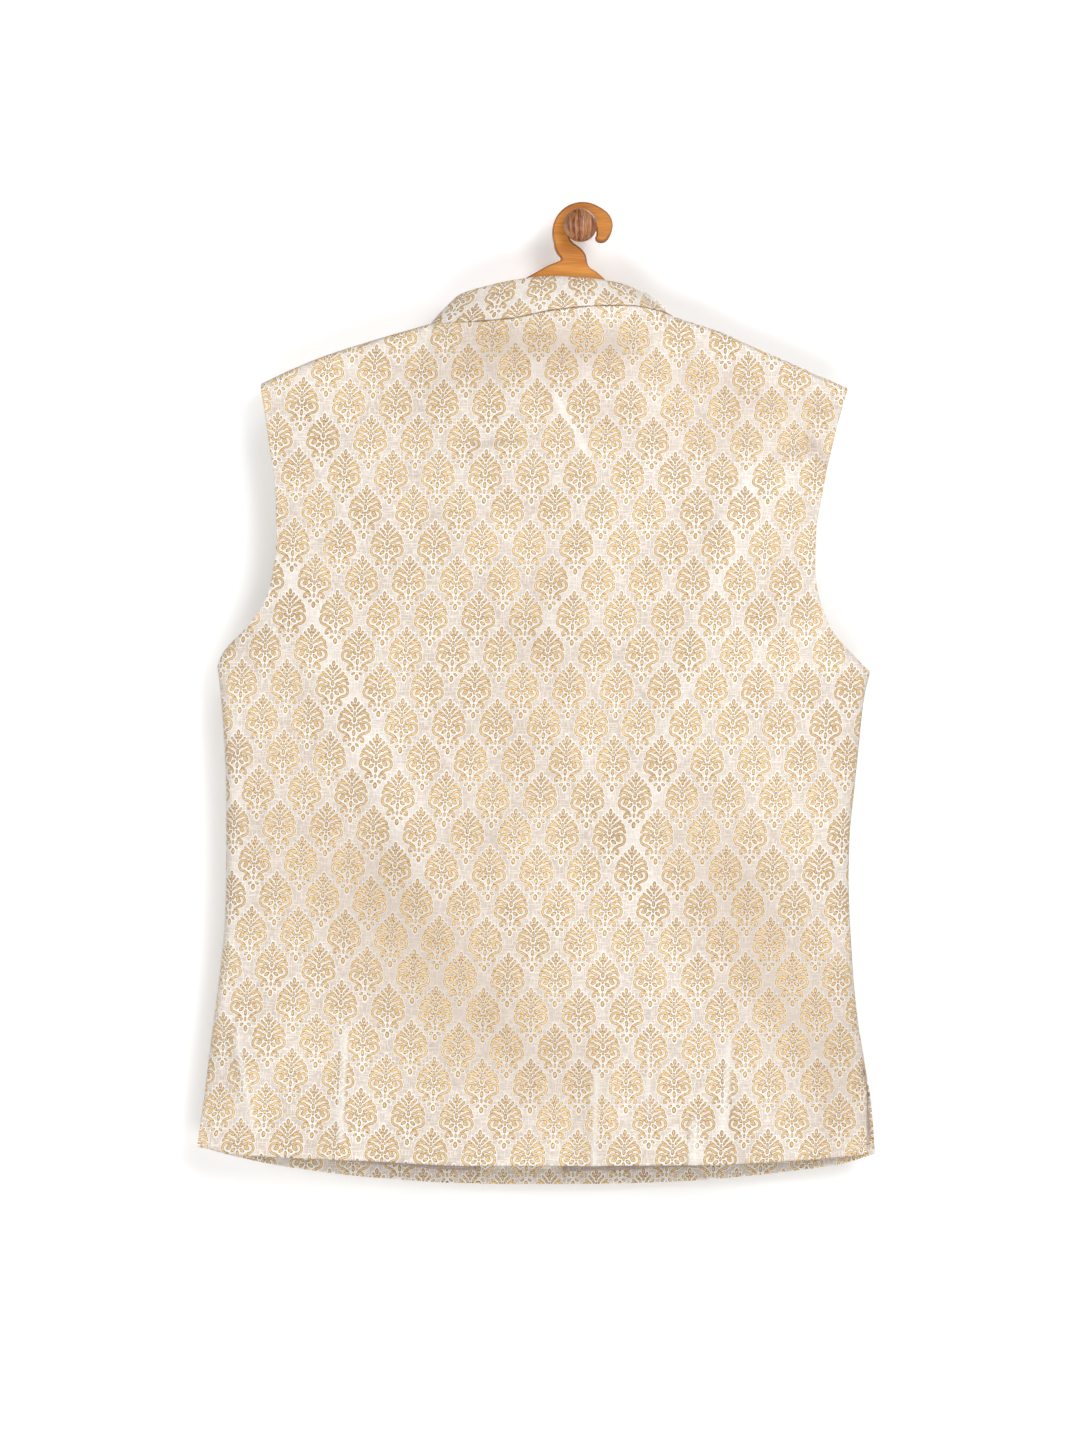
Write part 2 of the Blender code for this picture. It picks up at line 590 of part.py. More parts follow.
def collar_point(turn, level):
    """A point on the collar's outer face. turn runs once around from the left end of the centre
    front, over the back, to its right end; level is 0 at the seam and 1 at the top edge."""
    quarter = math.pi / 2
    at_front = (turn < quarter) | (turn > 3 * quarter)
    around_back = np.clip(turn - quarter, 0, math.pi)
    left_front = np.clip(quarter - turn, 0, quarter)
    right_front = math.pi - np.clip(turn - 3 * quarter, 0, quarter)
    around_front = np.where(turn < quarter, left_front, right_front)
    back = neck_ring(around_back, False)
    front = neck_ring(around_front, True)
    seam = [np.where(at_front, front[axis], back[axis]) for axis in range(3)]
    angle = np.where(at_front, around_front, around_back)
    top_x = COLLAR_TOP_CENTRE_X - COLLAR_TOP_HALF_WIDTH * np.cos(angle)
    top_back_y = MID_Y - COLLAR_TOP_BACK_DEPTH * np.sin(angle)
    lap = np.where(turn < quarter, overlap_step(front[0], front[2]), 0)
    top_front_y = MID_Y + COLLAR_TOP_FRONT_DEPTH * np.abs(np.sin(angle)) ** FRONT_RING_CURVE + lap
    top_y = np.where(at_front, top_front_y, top_back_y)
    back_z = smooth_through(COLLAR_TOP, "turn", "z", np.degrees(around_back))
    side_z = np.where(turn < quarter, COLLAR_TOP[0]["z"], COLLAR_TOP[-1]["z"])
    front_z = side_z + (COLLAR_TOP_FRONT_Z - side_z) * np.abs(np.sin(angle)) ** COLLAR_TOP_CURVE
    top_z = np.where(at_front, front_z, back_z)
    bulge = COLLAR_BULGE * 4 * level * (1 - level)
    out_x = -np.cos(angle) * 0.8
    out_y = np.where(at_front, 1, -1) * np.sin(angle)
    x = seam[0] + (top_x - seam[0]) * level + out_x * bulge
    y = seam[1] + (top_y - seam[1]) * level + out_y * bulge
    z = seam[2] + (top_z - seam[2]) * level
    return np.stack([x, y, z], -1)


def collar_on_steps(turn, level):
    """The collar's points, straight between the panels' own first steps at the centre front."""
    first = math.pi / 2 / FRONT_NECK_STEPS
    start = np.where(turn < first, 0, np.where(turn > 2 * math.pi - first, 2 * math.pi, turn))
    end = np.where(turn < first, first, np.where(turn > 2 * math.pi - first, 2 * math.pi - first, turn))
    share = np.where(start == end, 0, (turn - start) / np.where(start == end, 1, end - start))
    share = share[..., None]
    return collar_point(start, level) * (1 - share) + collar_point(end, level) * share


def make_collar(look):
    """The stand collar: one band around the neck, with rounded corners at the centre front."""
    start = COLLAR_END_GAP / COLLAR_HALF_WIDTH
    corner = start + COLLAR_CORNER / COLLAR_HALF_WIDTH * np.array(COLLAR_CORNER_SHARES)
    front = math.pi / 2 * np.arange(1, FRONT_NECK_STEPS) / FRONT_NECK_STEPS
    back = math.pi / 2 + math.pi * np.arange(BACK_NECK_STEPS + 1) / BACK_NECK_STEPS
    turns = np.concatenate([corner, front, back, 2 * math.pi - front[::-1],
                            2 * math.pi - corner[::-1]])
    turn, level = np.meshgrid(turns, np.array(COLLAR_LEVELS))
    from_end = np.minimum(turn - start, 2 * math.pi - start - turn) * COLLAR_HALF_WIDTH
    inside = np.clip(from_end / COLLAR_CORNER, 0, 1)
    whole = collar_on_steps(turn, level * 0 + 1) - collar_on_steps(turn, level * 0)
    height = np.linalg.norm(whole, axis=-1)
    lost = COLLAR_CORNER * (1 - np.sqrt(1 - (1 - inside) ** 2)) / height
    low = COLLAR_LIFT / height
    reach = low + (1 - lost - low) * level
    outer = collar_on_steps(turn, reach)
    step = 0.002
    along = unit(collar_point(turn + step, reach) - collar_point(turn - step, reach))
    rise = unit(collar_point(turn, reach + 0.01) - collar_point(turn, reach - 0.01))
    normal = unit(np.cross(along, rise))
    hold = np.clip(1 - level / 0.2, 0, 1)[..., None]
    normal = unit(normal * (1 - hold) + neck_flat(turn) * hold)
    return wall("collar", outer, outer - normal * COLLAR_WALL, look)


def inner_strip(name, surface, flip, across, heights, thick, look):
    """A layer on a front's inner face, made from the front's own points moved in."""
    s, t = np.meshgrid(across, heights)
    base = surface(s, t)
    normal = outward(surface, s, t, flip)
    near = base - normal * (TURNED + SEAM_GAP)
    return wall(name, near, near - normal * thick, look)


def make_front_layers(looks):
    """The lining of both fronts and the facing of the lower one, where they show at the hem."""
    foot = CENTRE_FOOT_X - BUTTON_STAND
    right_width = RIGHT_SIDE[0]["x"] - foot
    left_width = CENTRE_FOOT_X + BUTTON_STAND - LEFT_SIDE[0]["x"]
    heights = np.linspace(TURN_UP, LINED_HEIGHT, 5) / (CENTRE_TOP_Z - CENTRE_FOOT_Z)
    facing_end = FACING_WIDTH / right_width
    gap = SEAM_GAP / right_width
    lining_end = 1 - LINING_INSET / right_width
    right = front_surface(1)
    left = front_surface(-1)
    inner_strip("front_facing", right, True, np.linspace(0.001, facing_end, 5), heights, LINING,
                looks["brocade"])
    inner_strip("front_lining_right", right, True,
                np.linspace(facing_end + gap, lining_end, 13), heights, LINING, looks["lining"])
    under = (foot - 3 - LEFT_SIDE[0]["x"]) / left_width
    inner_strip("front_lining_left", left, True,
                np.linspace(LINING_INSET / left_width, under, 13), heights, LINING, looks["lining"])


def turned_profile(name, profile, steps, look):
    """A turned piece on a level axis along Y: profile rows are (y, radius) in millimetres."""
    mesh = bpy.data.meshes.new(name)
    shape = bmesh.new()
    rings = []
    for y, radius in profile:
        if radius == 0:
            rings.append([shape.verts.new((0, y * MM, 0))])
            continue
        angles = [2 * math.pi * i / steps for i in range(steps)]
        rings.append([shape.verts.new((radius * math.cos(a) * MM, y * MM, radius * math.sin(a) * MM))
                      for a in angles])
    for first, second in zip(rings, rings[1:]):
        for i in range(steps):
            j = (i + 1) % steps
            corners = [first[i % len(first)], first[j % len(first)],
                       second[j % len(second)], second[i % len(second)]]
            shape.faces.new(list(dict.fromkeys(corners)))
    bmesh.ops.recalc_face_normals(shape, faces=shape.faces)
    shape.to_mesh(mesh)
    shape.free()
    return add_object(name, mesh, look, math.radians(40))


def make_peg(look):
    """The wall peg: a straight shank and a ball at its end."""
    neck = math.asin(SHANK_RADIUS / BALL_RADIUS)
    profile = [(0, 0), (0, SHANK_RADIUS)]
    steps = 10
    for i in range(steps + 1):
        angle = neck + (math.pi - neck) * i / steps
        radius = BALL_RADIUS * math.sin(angle) if i < steps else 0
        profile.append((BALL_Y + BALL_RADIUS * math.cos(angle), radius))
    return turned_profile("wall_peg", profile, 28, look)


def arc(centre_x, centre_z, radius, start, end, steps):
    """Points on an arc in the board's plane, angles in degrees from +X towards +Z."""
    angles = np.radians(np.linspace(start, end, steps + 1))
    return [(centre_x + radius * math.cos(a), centre_z + radius * math.sin(a)) for a in angles]


def run_through(points):
    """A smooth line through hand-placed points, both ends included."""
    known = np.array(points, float)
    rows = np.vstack([2 * known[0] - known[1], known, 2 * known[-1] - known[-2]])
    run = []
    for i in range(1, len(rows) - 2):
        before, first, second, after = rows[i - 1:i + 3]
        for step in range(OUTLINE_STEPS):
            u = step / OUTLINE_STEPS
            square = 2 * before - 5 * first + 4 * second - after
            cube = 3 * first - before - 3 * second + after
            place = (2 * first + (second - before) * u + square * u**2 + cube * u**3) / 2
            run.append(tuple(place))
    run.append(tuple(known[-1]))
    return run


def under_shoulder(rows, places):
    """Points on the board's top edge, just under a shoulder's outline."""
    return [(x, float(smooth_through(rows, "x", "z", x)) - BOARD_DROP) for x in places]


def board_outline():
    """The hanger seen from the back of the jacket: the hook's tip, round its outside, down the left
    arm and back along the underside, up the right arm and the stem, and round the hook's inside."""
    hook = arc(EYE_X, EYE_Z, HOOK_RADIUS, 62, 200, 22)
    tip = run_through([(11.5, -8.2), (12.1, -10.0), (14.4, -11.2), (17.6, -11.3), (20.9, -9.2), (23.8, -4),
                       (24.9, 1.4), (24, 6.4), (21.2, 10.9), (17, 14.2), hook[0]])
    left_stem = run_through([hook[-1], (-19.7, -16), (-17.6, -20.2), (-14.6, -24.6), (-19.1, -27.1),
                             (-25, -29.6), (-33, -34), (-43.5, -40)])
    left_top = [(-72, -56), (-98, -71.2), (-113, -78.6)]
    left_top += under_shoulder(LEFT_SHOULDER, (-125, -150, -175, BOARD_LEFT_X))
    left_z = left_top[-1][1]
    left_end = [(BOARD_LEFT_X - 3, left_z - 5), (BOARD_LEFT_X - 2, left_z - BOARD_TIP + 3),
                (BOARD_LEFT_X + 3, left_z - BOARD_TIP)]
    underside = [(-120, -106), (-50, -78), (-5, -71.5), (45, -80), (112, -110)]
    right_top = under_shoulder(RIGHT_SHOULDER, (BOARD_RIGHT_X, 165, 135, 105, 82))
    right_z = right_top[0][1]
    right_end = [(BOARD_RIGHT_X - 4, right_z - BOARD_TIP), (BOARD_RIGHT_X + 2, right_z - BOARD_TIP + 3),
                 (BOARD_RIGHT_X + 4, right_z - 5)]
    eye = arc(EYE_X, EYE_Z, EYE_RADIUS, 236, -16, 26)
    right_stem = run_through([(40, -56), (30, -48.4), (20.5, -41.5), (13, -34.8), (7, -30.8), (5.2, -26.5),
                              (4.2, -21.4), (1.4, -17.4), (-2, -14.4), eye[0]])
    right_arm = [(72, -74.6), (62, -70.8)]
    return (tip[:-1] + hook + left_stem[1:] + left_top + left_end + underside + right_end + right_top
            + right_arm + right_stem[:-1] + eye)


def make_hanger(look):
    """A flat board, cut to its outline and eased along its edges."""
    mesh = bpy.data.meshes.new("hanger")
    shape = bmesh.new()
    front = MID_Y - BOARD / 2
    ring = [shape.verts.new((x * MM, front * MM, z * MM)) for x, z in board_outline()]
    face = shape.faces.new(ring)
    grown = bmesh.ops.extrude_face_region(shape, geom=[face])
    moved = [item for item in grown["geom"] if isinstance(item, bmesh.types.BMVert)]
    bmesh.ops.translate(shape, verts=moved, vec=(0, BOARD * MM, 0))
    bmesh.ops.recalc_face_normals(shape, faces=shape.faces)
    shape.to_mesh(mesh)
    shape.free()
    thing = add_object("hanger", mesh, look, math.radians(35))
    bevel = thing.modifiers.new("eased_edges", "BEVEL")
    bevel.width = BOARD_EDGE * MM
    bevel.segments = 1
    bevel.limit_method = "ANGLE"
    bevel.angle_limit = math.radians(60)
    return thing


def button_profile():
    """A domed button as (distance from its back, radius)."""
    rim = BUTTON_RADIUS
    return [(0, 0), (0, rim * 0.5), (BUTTON_THICK * 0.25, rim * 0.92), (BUTTON_THICK * 0.5, rim),
            (BUTTON_THICK * 0.78, rim * 0.78), (BUTTON_THICK * 0.95, rim * 0.42), (BUTTON_THICK, 0)]


def make_buttons(look):
    """The buttons, flat on the upper front along the centre line."""
    top = front_top(LEFT_SHOULDER, -1)
    for number in range(BUTTON_COUNT):
        z = TOP_BUTTON_Z - number * BUTTON_SPACING
        x = float(centre_x(z))
        width = x + BUTTON_STAND - LEFT_SIDE[0]["x"]
        share = np.array([1 - BUTTON_STAND / width])
        depth = front_depth(np.array([x]), np.array([z]), share, -1, top)
        thing = turned_profile("button_%d" % (number + 1), button_profile(), 14, look)
        thing.location = (x * MM, (MID_Y + float(depth[0]) + BUTTON_LIFT) * MM, z * MM)


def build():
    """Every piece, each with its own material."""
    across_back = spaced([(0.003, 1), (0.014, 1), (0.045, 1), (NECK_START, 7),
                          (NECK_END, BACK_NECK_STEPS), (0.955, 7), (0.986, 1), (0.997, 1), (1, 1)])
    across_left = spaced([(0.006, 1), (0.028, 1), (0.09, 1), (SHOULDER_SHARE, 6),
                          (NECK_SHARE, FRONT_NECK_STEPS), (1, 2)])
    across_right = 1 - across_left[::-1]
    panel("back", back_surface, across_back, False, seams_of_back, back_neck_turns,
          material("back_brocade", BROCADE, 0.5))
    panel("front_left", front_surface(-1), across_left, True, seams_of_front(-1),
          front_neck_turns(-1), material("front_left_brocade", BROCADE, 0.5))
    panel("front_right", front_surface(1), across_right, True, seams_of_front(1),
          front_neck_turns(1), material("front_right_brocade", BROCADE, 0.5))
    make_collar(material("collar_brocade", BROCADE, 0.5))
    make_front_layers({"brocade": material("facing_brocade", BROCADE, 0.5),
                       "lining": material("lining_satin", LINING_PINK, 0.4)})
    make_hanger(material("hanger_wood", BOARD_WOOD, 0.4))
    make_peg(material("peg_wood", PEG_WOOD, 0.35))
    make_buttons(material("button_metal", BUTTON_METAL, 0.35, 0.9))


build()
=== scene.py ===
# %% [markdown]
# A nehru jacket in silk brocade hangs back outward on a flat wooden hanger, and the hanger's hook
# hangs on a turned peg in the wall. The loaded frame holds every piece at its real size and place,
# so this lesson only adds what a camera sees: finer cloth, its woven pattern, wood and light.

# %% The frame
import math

import bmesh
import bpy
import numpy as np
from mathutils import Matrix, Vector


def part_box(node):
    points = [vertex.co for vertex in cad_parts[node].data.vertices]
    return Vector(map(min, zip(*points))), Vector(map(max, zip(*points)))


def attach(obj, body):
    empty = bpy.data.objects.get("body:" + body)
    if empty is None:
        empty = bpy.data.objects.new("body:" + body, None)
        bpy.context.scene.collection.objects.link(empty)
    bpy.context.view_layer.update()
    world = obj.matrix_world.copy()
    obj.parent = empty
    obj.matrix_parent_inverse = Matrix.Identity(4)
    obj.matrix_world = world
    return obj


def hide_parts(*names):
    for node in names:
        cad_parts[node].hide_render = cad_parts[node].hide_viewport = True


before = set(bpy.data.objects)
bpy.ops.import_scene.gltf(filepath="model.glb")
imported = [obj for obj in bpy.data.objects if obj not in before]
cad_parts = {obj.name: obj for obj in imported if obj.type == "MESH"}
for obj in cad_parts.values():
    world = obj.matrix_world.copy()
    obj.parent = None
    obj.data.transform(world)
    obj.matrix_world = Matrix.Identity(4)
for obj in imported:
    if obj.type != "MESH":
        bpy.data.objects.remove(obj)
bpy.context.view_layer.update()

MM = 0.001
bpy.ops.object.select_all(action="DESELECT")

# %% [markdown]
# The photograph is taken level, from a few metres away with a long lens, so the outlines have almost
# no perspective. The camera stands square to the wall. Its lens is worked out from the real width of
# what it sees, so that one picture element is 0.77 mm in the plane of the hanger.

# %% The camera
PHOTO_HIGH = 1440
MM_PER_PIXEL = 0.77
CAMERA_AWAY = 3500.0
VIEW_X = -31.0
VIEW_Z = -379.0
HANGER_Y = -42.0
camera_data = bpy.data.cameras.new("camera")
camera_data.sensor_width = 36.0
camera_data.lens = camera_data.sensor_width * CAMERA_AWAY / (PHOTO_HIGH * MM_PER_PIXEL)
camera_data.clip_end = 30.0
camera = bpy.data.objects.new("camera", camera_data)
camera.location = (VIEW_X * MM, (HANGER_Y - CAMERA_AWAY) * MM, VIEW_Z * MM)
camera.rotation_euler = (math.radians(90), 0, 0)
bpy.context.scene.collection.objects.link(camera)
bpy.context.scene.camera = camera
bpy.context.scene.view_settings.view_transform = "Standard"
print("lens", round(camera_data.lens, 1), "mm")

# %% [markdown]
# Colours are written the way a paint program shows them, 0 to 255, and turned into the linear values
# that Blender's shaders work with. A few small helpers keep the node trees short: each adds one node
# and gives back its output, so a formula reads from the inside out.


# %% Helpers for colours and nodes
def paint(red, green, blue):
    """A colour of a paint program as linear values."""
    shares = [value / 255 for value in (red, green, blue)]
    return tuple(s / 12.92 if s <= 0.04045 else ((s + 0.055) / 1.055) ** 2.4 for s in shares) + (1.0,)


def put(tree, socket, value):
    """Links a value if it comes from a node, or sets it as a number."""
    if isinstance(value, bpy.types.NodeSocket):
        tree.links.new(value, socket)
    else:
        socket.default_value = value


def calc(tree, operation, *values):
    node = tree.nodes.new("ShaderNodeMath")
    node.operation = operation
    for socket, value in zip(node.inputs, values):
        put(tree, socket, value)
    return node.outputs[0]


def mix(tree, share, first, second):
    """A colour between two colours."""
    node = tree.nodes.new("ShaderNodeMix")
    node.data_type = "RGBA"
    put(tree, node.inputs["Factor"], share)
    put(tree, node.inputs[6], first)
    put(tree, node.inputs[7], second)
    return node.outputs[2]


def spread(tree, value, low, high, start=0.0, end=1.0):
    """Maps low..high to start..end with a smooth step."""
    node = tree.nodes.new("ShaderNodeMapRange")
    node.interpolation_type = "SMOOTHSTEP"
    put(tree, node.inputs["Value"], value)
    for name, number in (("From Min", low), ("From Max", high), ("To Min", start), ("To Max", end)):
        put(tree, node.inputs[name], number)
    return node.outputs["Result"]


def noise(tree, place, scale, detail=2.0, stretch=(1, 1, 1)):
    """A noise value, with its pattern drawn out along the axes that have a small stretch."""
    mapping = tree.nodes.new("ShaderNodeMapping")
    put(tree, mapping.inputs["Vector"], place)
    mapping.inputs["Scale"].default_value = stretch
    node = tree.nodes.new("ShaderNodeTexNoise")
    tree.links.new(mapping.outputs[0], node.inputs["Vector"])
    node.inputs["Scale"].default_value = scale
    node.inputs["Detail"].default_value = detail
    return node.outputs["Fac"]


def new_group(name, inputs, outputs):
    tree = bpy.data.node_groups.new(name, "ShaderNodeTree")
    for label, kind in inputs:
        tree.interface.new_socket(label, in_out="INPUT", socket_type=kind)
    for label in outputs:
        tree.interface.new_socket(label, in_out="OUTPUT", socket_type="NodeSocketFloat")
    return tree, tree.nodes.new("NodeGroupInput").outputs, tree.nodes.new("NodeGroupOutput").inputs


def place_group(tree, group, **values):
    node = tree.nodes.new("ShaderNodeGroup")
    node.node_tree = group
    for name, value in values.items():
        put(tree, node.inputs[name], value)
    return node.outputs


# %% [markdown]
# The brocade's motif is a common damask one: a bud over a fan of leaves, two brows of arched leaves, a
# pair of scrolls that form a heart, small curls under it and a drop at the foot. It is charted here in
# millimetres from the motif's middle. Leaves are ellipses and strokes are arcs, and only one half is
# charted, because the other half is its mirror image.

# %% The motif's chart
LEAVES = [
    {"x": 0, "y": 18.7, "long": 2.3, "wide": 1.25, "turn": 0},
    {"x": 2.2, "y": 15.9, "long": 2.1, "wide": 0.95, "turn": -24},
    {"x": 4.7, "y": 13.7, "long": 2.1, "wide": 0.95, "turn": -32},
    {"x": 7.3, "y": 11.3, "long": 1.8, "wide": 0.9, "turn": -50},
    {"x": 0, "y": 13.6, "long": 2.4, "wide": 1.0, "turn": 0},
    {"x": 2.6, "y": 11.4, "long": 2.3, "wide": 0.95, "turn": -26},
    {"x": 4.9, "y": 9.3, "long": 2.5, "wide": 1.0, "turn": -42},
    {"x": 0, "y": 8.6, "long": 1.7, "wide": 0.95, "turn": 0},
    {"x": 2.4, "y": 7.3, "long": 1.9, "wide": 0.9, "turn": -40},
    {"x": 3.9, "y": 3.9, "long": 2.0, "wide": 0.95, "turn": -58},
    {"x": 0, "y": 3.9, "long": 2.2, "wide": 1.25, "turn": 0},
    {"x": 2.6, "y": 0.6, "long": 1.9, "wide": 1.15, "turn": -35},
    {"x": 0, "y": -1.2, "long": 1.8, "wide": 0.9, "turn": 0},
    {"x": 3.5, "y": -3.6, "long": 2.2, "wide": 1.25, "turn": 52},
    {"x": 0, "y": -6.2, "long": 2.4, "wide": 1.2, "turn": 0},
    {"x": 6.6, "y": -6.9, "long": 3.9, "wide": 0.98, "turn": -60},
    {"x": 0, "y": -11.2, "long": 1.7, "wide": 0.85, "turn": 0},
    {"x": 5.6, "y": -12.2, "long": 0.8, "wide": 0.7, "turn": 0},
    {"x": 2.9, "y": -15.3, "long": 1.7, "wide": 1.0, "turn": 55},
    {"x": 0, "y": -18.2, "long": 2.3, "wide": 1.45, "turn": 0},
]
# An arc keeps the part of its circle that lies towards its face, in degrees. The cut says how much
# of it: 1 would keep nothing, 0 keeps half and -1 keeps the whole circle.
ARCS = [
    {"x": 7.6, "y": 6.6, "radius": 3.0, "wide": 1.0, "face": 84, "cut": 0.15},
    {"x": 8.6, "y": 3.0, "radius": 3.1, "wide": 1.02, "face": 84, "cut": 0.05},
    {"x": 7.9, "y": -2.0, "radius": 4.1, "wide": 1.02, "face": 28, "cut": -0.45},
    {"x": 7.3, "y": -1.2, "radius": 1.4, "wide": 0.95, "face": 205, "cut": -0.9},
    {"x": 5.2, "y": -11.6, "radius": 2.3, "wide": 0.9, "face": 70, "cut": -0.55},
]
REPEAT_WIDE = 36.3
REPEAT_HIGH = 54.2
# Squared distances at which a thread, its middle (painted lighter as if lit) and the painted highlight
# round it begin and end
GOLD_EDGE = (1.35, 0.8)
LIT_CORE_EDGE = (0.75, 0.15)
RIM_HIGHLIGHT_EDGE = (3.2, 1.8)
print("motif with", len(LEAVES), "leaves and", len(ARCS), "arcs")


def nearest_motif(tree, x, y):
    """Coordinates from the middle of the motif that a point belongs to, in a half-drop repeat."""
    half_wide = REPEAT_WIDE / 2
    half_high = REPEAT_HIGH / 2
    own_x = calc(tree, "WRAP", x, half_wide, -half_wide)
    own_y = calc(tree, "WRAP", y, half_high, -half_high)
    next_x = calc(tree, "WRAP", calc(tree, "SUBTRACT", x, half_wide), half_wide, -half_wide)
    next_y = calc(tree, "WRAP", calc(tree, "SUBTRACT", y, half_high), half_high, -half_high)
    reach_x = calc(tree, "DIVIDE", calc(tree, "ABSOLUTE", own_x), half_wide)
    reach_y = calc(tree, "DIVIDE", calc(tree, "ABSOLUTE", own_y), half_high)
    is_own = calc(tree, "LESS_THAN", calc(tree, "ADD", reach_x, reach_y), 1.0)
    across = calc(tree, "MULTIPLY_ADD", calc(tree, "SUBTRACT", own_x, next_x), is_own, next_x)
    up = calc(tree, "MULTIPLY_ADD", calc(tree, "SUBTRACT", own_y, next_y), is_own, next_y)
    joined = tree.nodes.new("ShaderNodeCombineXYZ")
    tree.links.new(calc(tree, "ABSOLUTE", across), joined.inputs["X"])
    tree.links.new(up, joined.inputs["Y"])
    joined.inputs["Z"].default_value = 1.0
    return joined.outputs[0]


def weigh(tree, place, x_share, y_share, constant):
    """x times its share, plus y times its share, plus a constant; the place's own z is 1."""
    node = tree.nodes.new("ShaderNodeVectorMath")
    node.operation = "DOT_PRODUCT"
    tree.links.new(place, node.inputs[0])
    node.inputs[1].default_value = (x_share, y_share, constant)
    return node.outputs["Value"]


def leaf_reach(tree, place, leaf):
    """Squared distance from a leaf's middle: 1 on its edge and less inside it."""
    turn = math.radians(leaf["turn"])
    cosine, sine = math.cos(turn), math.sin(turn)
    wide, long = leaf["wide"], leaf["long"]
    x, y = leaf["x"], leaf["y"]
    across = weigh(tree, place, cosine / wide, sine / wide, -(x * cosine + y * sine) / wide)
    along = weigh(tree, place, -sine / long, cosine / long, (x * sine - y * cosine) / long)
    return calc(tree, "MULTIPLY_ADD", along, along, calc(tree, "MULTIPLY", across, across))


def arc_reach(tree, place, arc):
    """The same for a stroke along part of a circle."""
    distance = tree.nodes.new("ShaderNodeVectorMath")
    distance.operation = "DISTANCE"
    tree.links.new(place, distance.inputs[0])
    distance.inputs[1].default_value = (arc["x"], arc["y"], 1)
    wide, radius = arc["wide"], arc["radius"]
    off = calc(tree, "MULTIPLY_ADD", distance.outputs["Value"], 1 / wide, -radius / wide)
    face = math.radians(arc["face"])
    cosine, sine = math.cos(face), math.sin(face)
    middle = arc["x"] * cosine + arc["y"] * sine
    end = weigh(tree, place, -cosine / wide, -sine / wide, (middle + arc["cut"] * radius) / wide + 1)
    reach = calc(tree, "MAXIMUM", calc(tree, "ABSOLUTE", off), end)
    return calc(tree, "MULTIPLY", reach, reach)


def make_damask():
    """Gold is 1 on the motif's threads, the core value on their middles, which are painted lighter as
    if lit, and the rim value close round them, where a painted highlight goes.
    """
    tree, given, out = new_group("damask", [("Place", "NodeSocketVector")], ["Gold", "Lit_core", "Rim_highlight"])
    split = tree.nodes.new("ShaderNodeSeparateXYZ")
    tree.links.new(given["Place"], split.inputs[0])
    x = calc(tree, "MULTIPLY", split.outputs["X"], 1 / MM)
    y = calc(tree, "MULTIPLY", split.outputs["Y"], 1 / MM)
    place = nearest_motif(tree, x, y)
    reaches = [leaf_reach(tree, place, leaf) for leaf in LEAVES]
    reaches += [arc_reach(tree, place, arc) for arc in ARCS]
    nearest = reaches[0]
    for reach in reaches[1:]:
        nearest = calc(tree, "MINIMUM", nearest, reach)
    tree.links.new(spread(tree, nearest, *GOLD_EDGE), out["Gold"])
    tree.links.new(spread(tree, nearest, *LIT_CORE_EDGE), out["Lit_core"])
    tree.links.new(spread(tree, nearest, *RIM_HIGHLIGHT_EDGE), out["Rim_highlight"])
    return tree


def make_weave():
    """Fine threads both ways: Rise for the bump and Tone for light and dark threads."""
    tree, given, out = new_group("weave", [("Place", "NodeSocketVector")], ["Rise", "Tone"])
    warp = noise(tree, given["Place"], 1050.0, 1.0, (1, 0.14, 1))
    weft = noise(tree, given["Place"], 980.0, 1.0, (0.12, 1, 1))
    rise = calc(tree, "MAXIMUM", warp, weft)
    tree.links.new(rise, out["Rise"])
    tree.links.new(spread(tree, rise, 0.44, 0.7), out["Tone"])
    return tree


DAMASK = make_damask()
WEAVE = make_weave()
print("damask group", len(DAMASK.nodes), "nodes")

# %% [markdown]
# The ground of the brocade is a pale satin, and the motif is woven over it in gold thread, so the two
# differ in colour, in gloss and in height. The lining is a plain greyish pink satin. All cloth reads
# its own UV map, which is laid out in metres of cloth, so the pattern keeps its size over every fold.
# What belongs to one place, such as painted shade along a seam, a painted sheen or the painted
# highlight on a pressed crease, is a value that the mesh's points carry under a name, and the material
# reads it by that name.


# %% Cloth finishes
def new_material(name, roughness, sheen=0.0):
    made = bpy.data.materials.new(name)
    made.use_nodes = True
    tree = made.node_tree
    shader = tree.nodes["Principled BSDF"]
    shader.inputs["Roughness"].default_value = roughness
    shader.inputs["Sheen Weight"].default_value = sheen
    shader.inputs["Sheen Roughness"].default_value = 0.4
    return made, tree, shader


def cloth_place(tree):
    node = tree.nodes.new("ShaderNodeUVMap")
    node.uv_map = "cloth"
    return node.outputs[0]


def mark(tree, name, share=1.0):
    """A value that is stored on the mesh's points, times a share."""
    node = tree.nodes.new("ShaderNodeAttribute")
    node.attribute_name = name
    return calc(tree, "MULTIPLY", node.outputs["Fac"], share)


def add_bump(tree, shader, height, distance, strength=1.0):
    node = tree.nodes.new("ShaderNodeBump")
    node.inputs["Strength"].default_value = strength
    node.inputs["Distance"].default_value = distance
    tree.links.new(height, node.inputs["Height"])
    tree.links.new(node.outputs["Normal"], shader.inputs["Normal"])


GROUND_LIGHT = paint(246, 236, 225)
GROUND_SHADE = paint(205, 190, 177)
# Colour of the painted highlights: round the gold threads, in the bands of painted sheen and along
# pressed creases
PAINTED_HIGHLIGHT = paint(255, 252, 246)
GOLD_LIGHT = paint(250, 219, 163)
GOLD_DARK = paint(134, 86, 36)
# Colour of the painted shade in seams, crease troughs and the top of the vent
SEAM_DARK = paint(140, 110, 82)
CLOUD_SHARE = 0.22
RIM_HIGHLIGHT_SHARE = 0.95
PAINTED_SHEEN_SHARE = 0.42
PAINTED_SHADE_SHARE = 0.8
CREASE_HIGHLIGHT_SHARE = 0.55
SHEEN_GOLD_DARKENING = -0.2


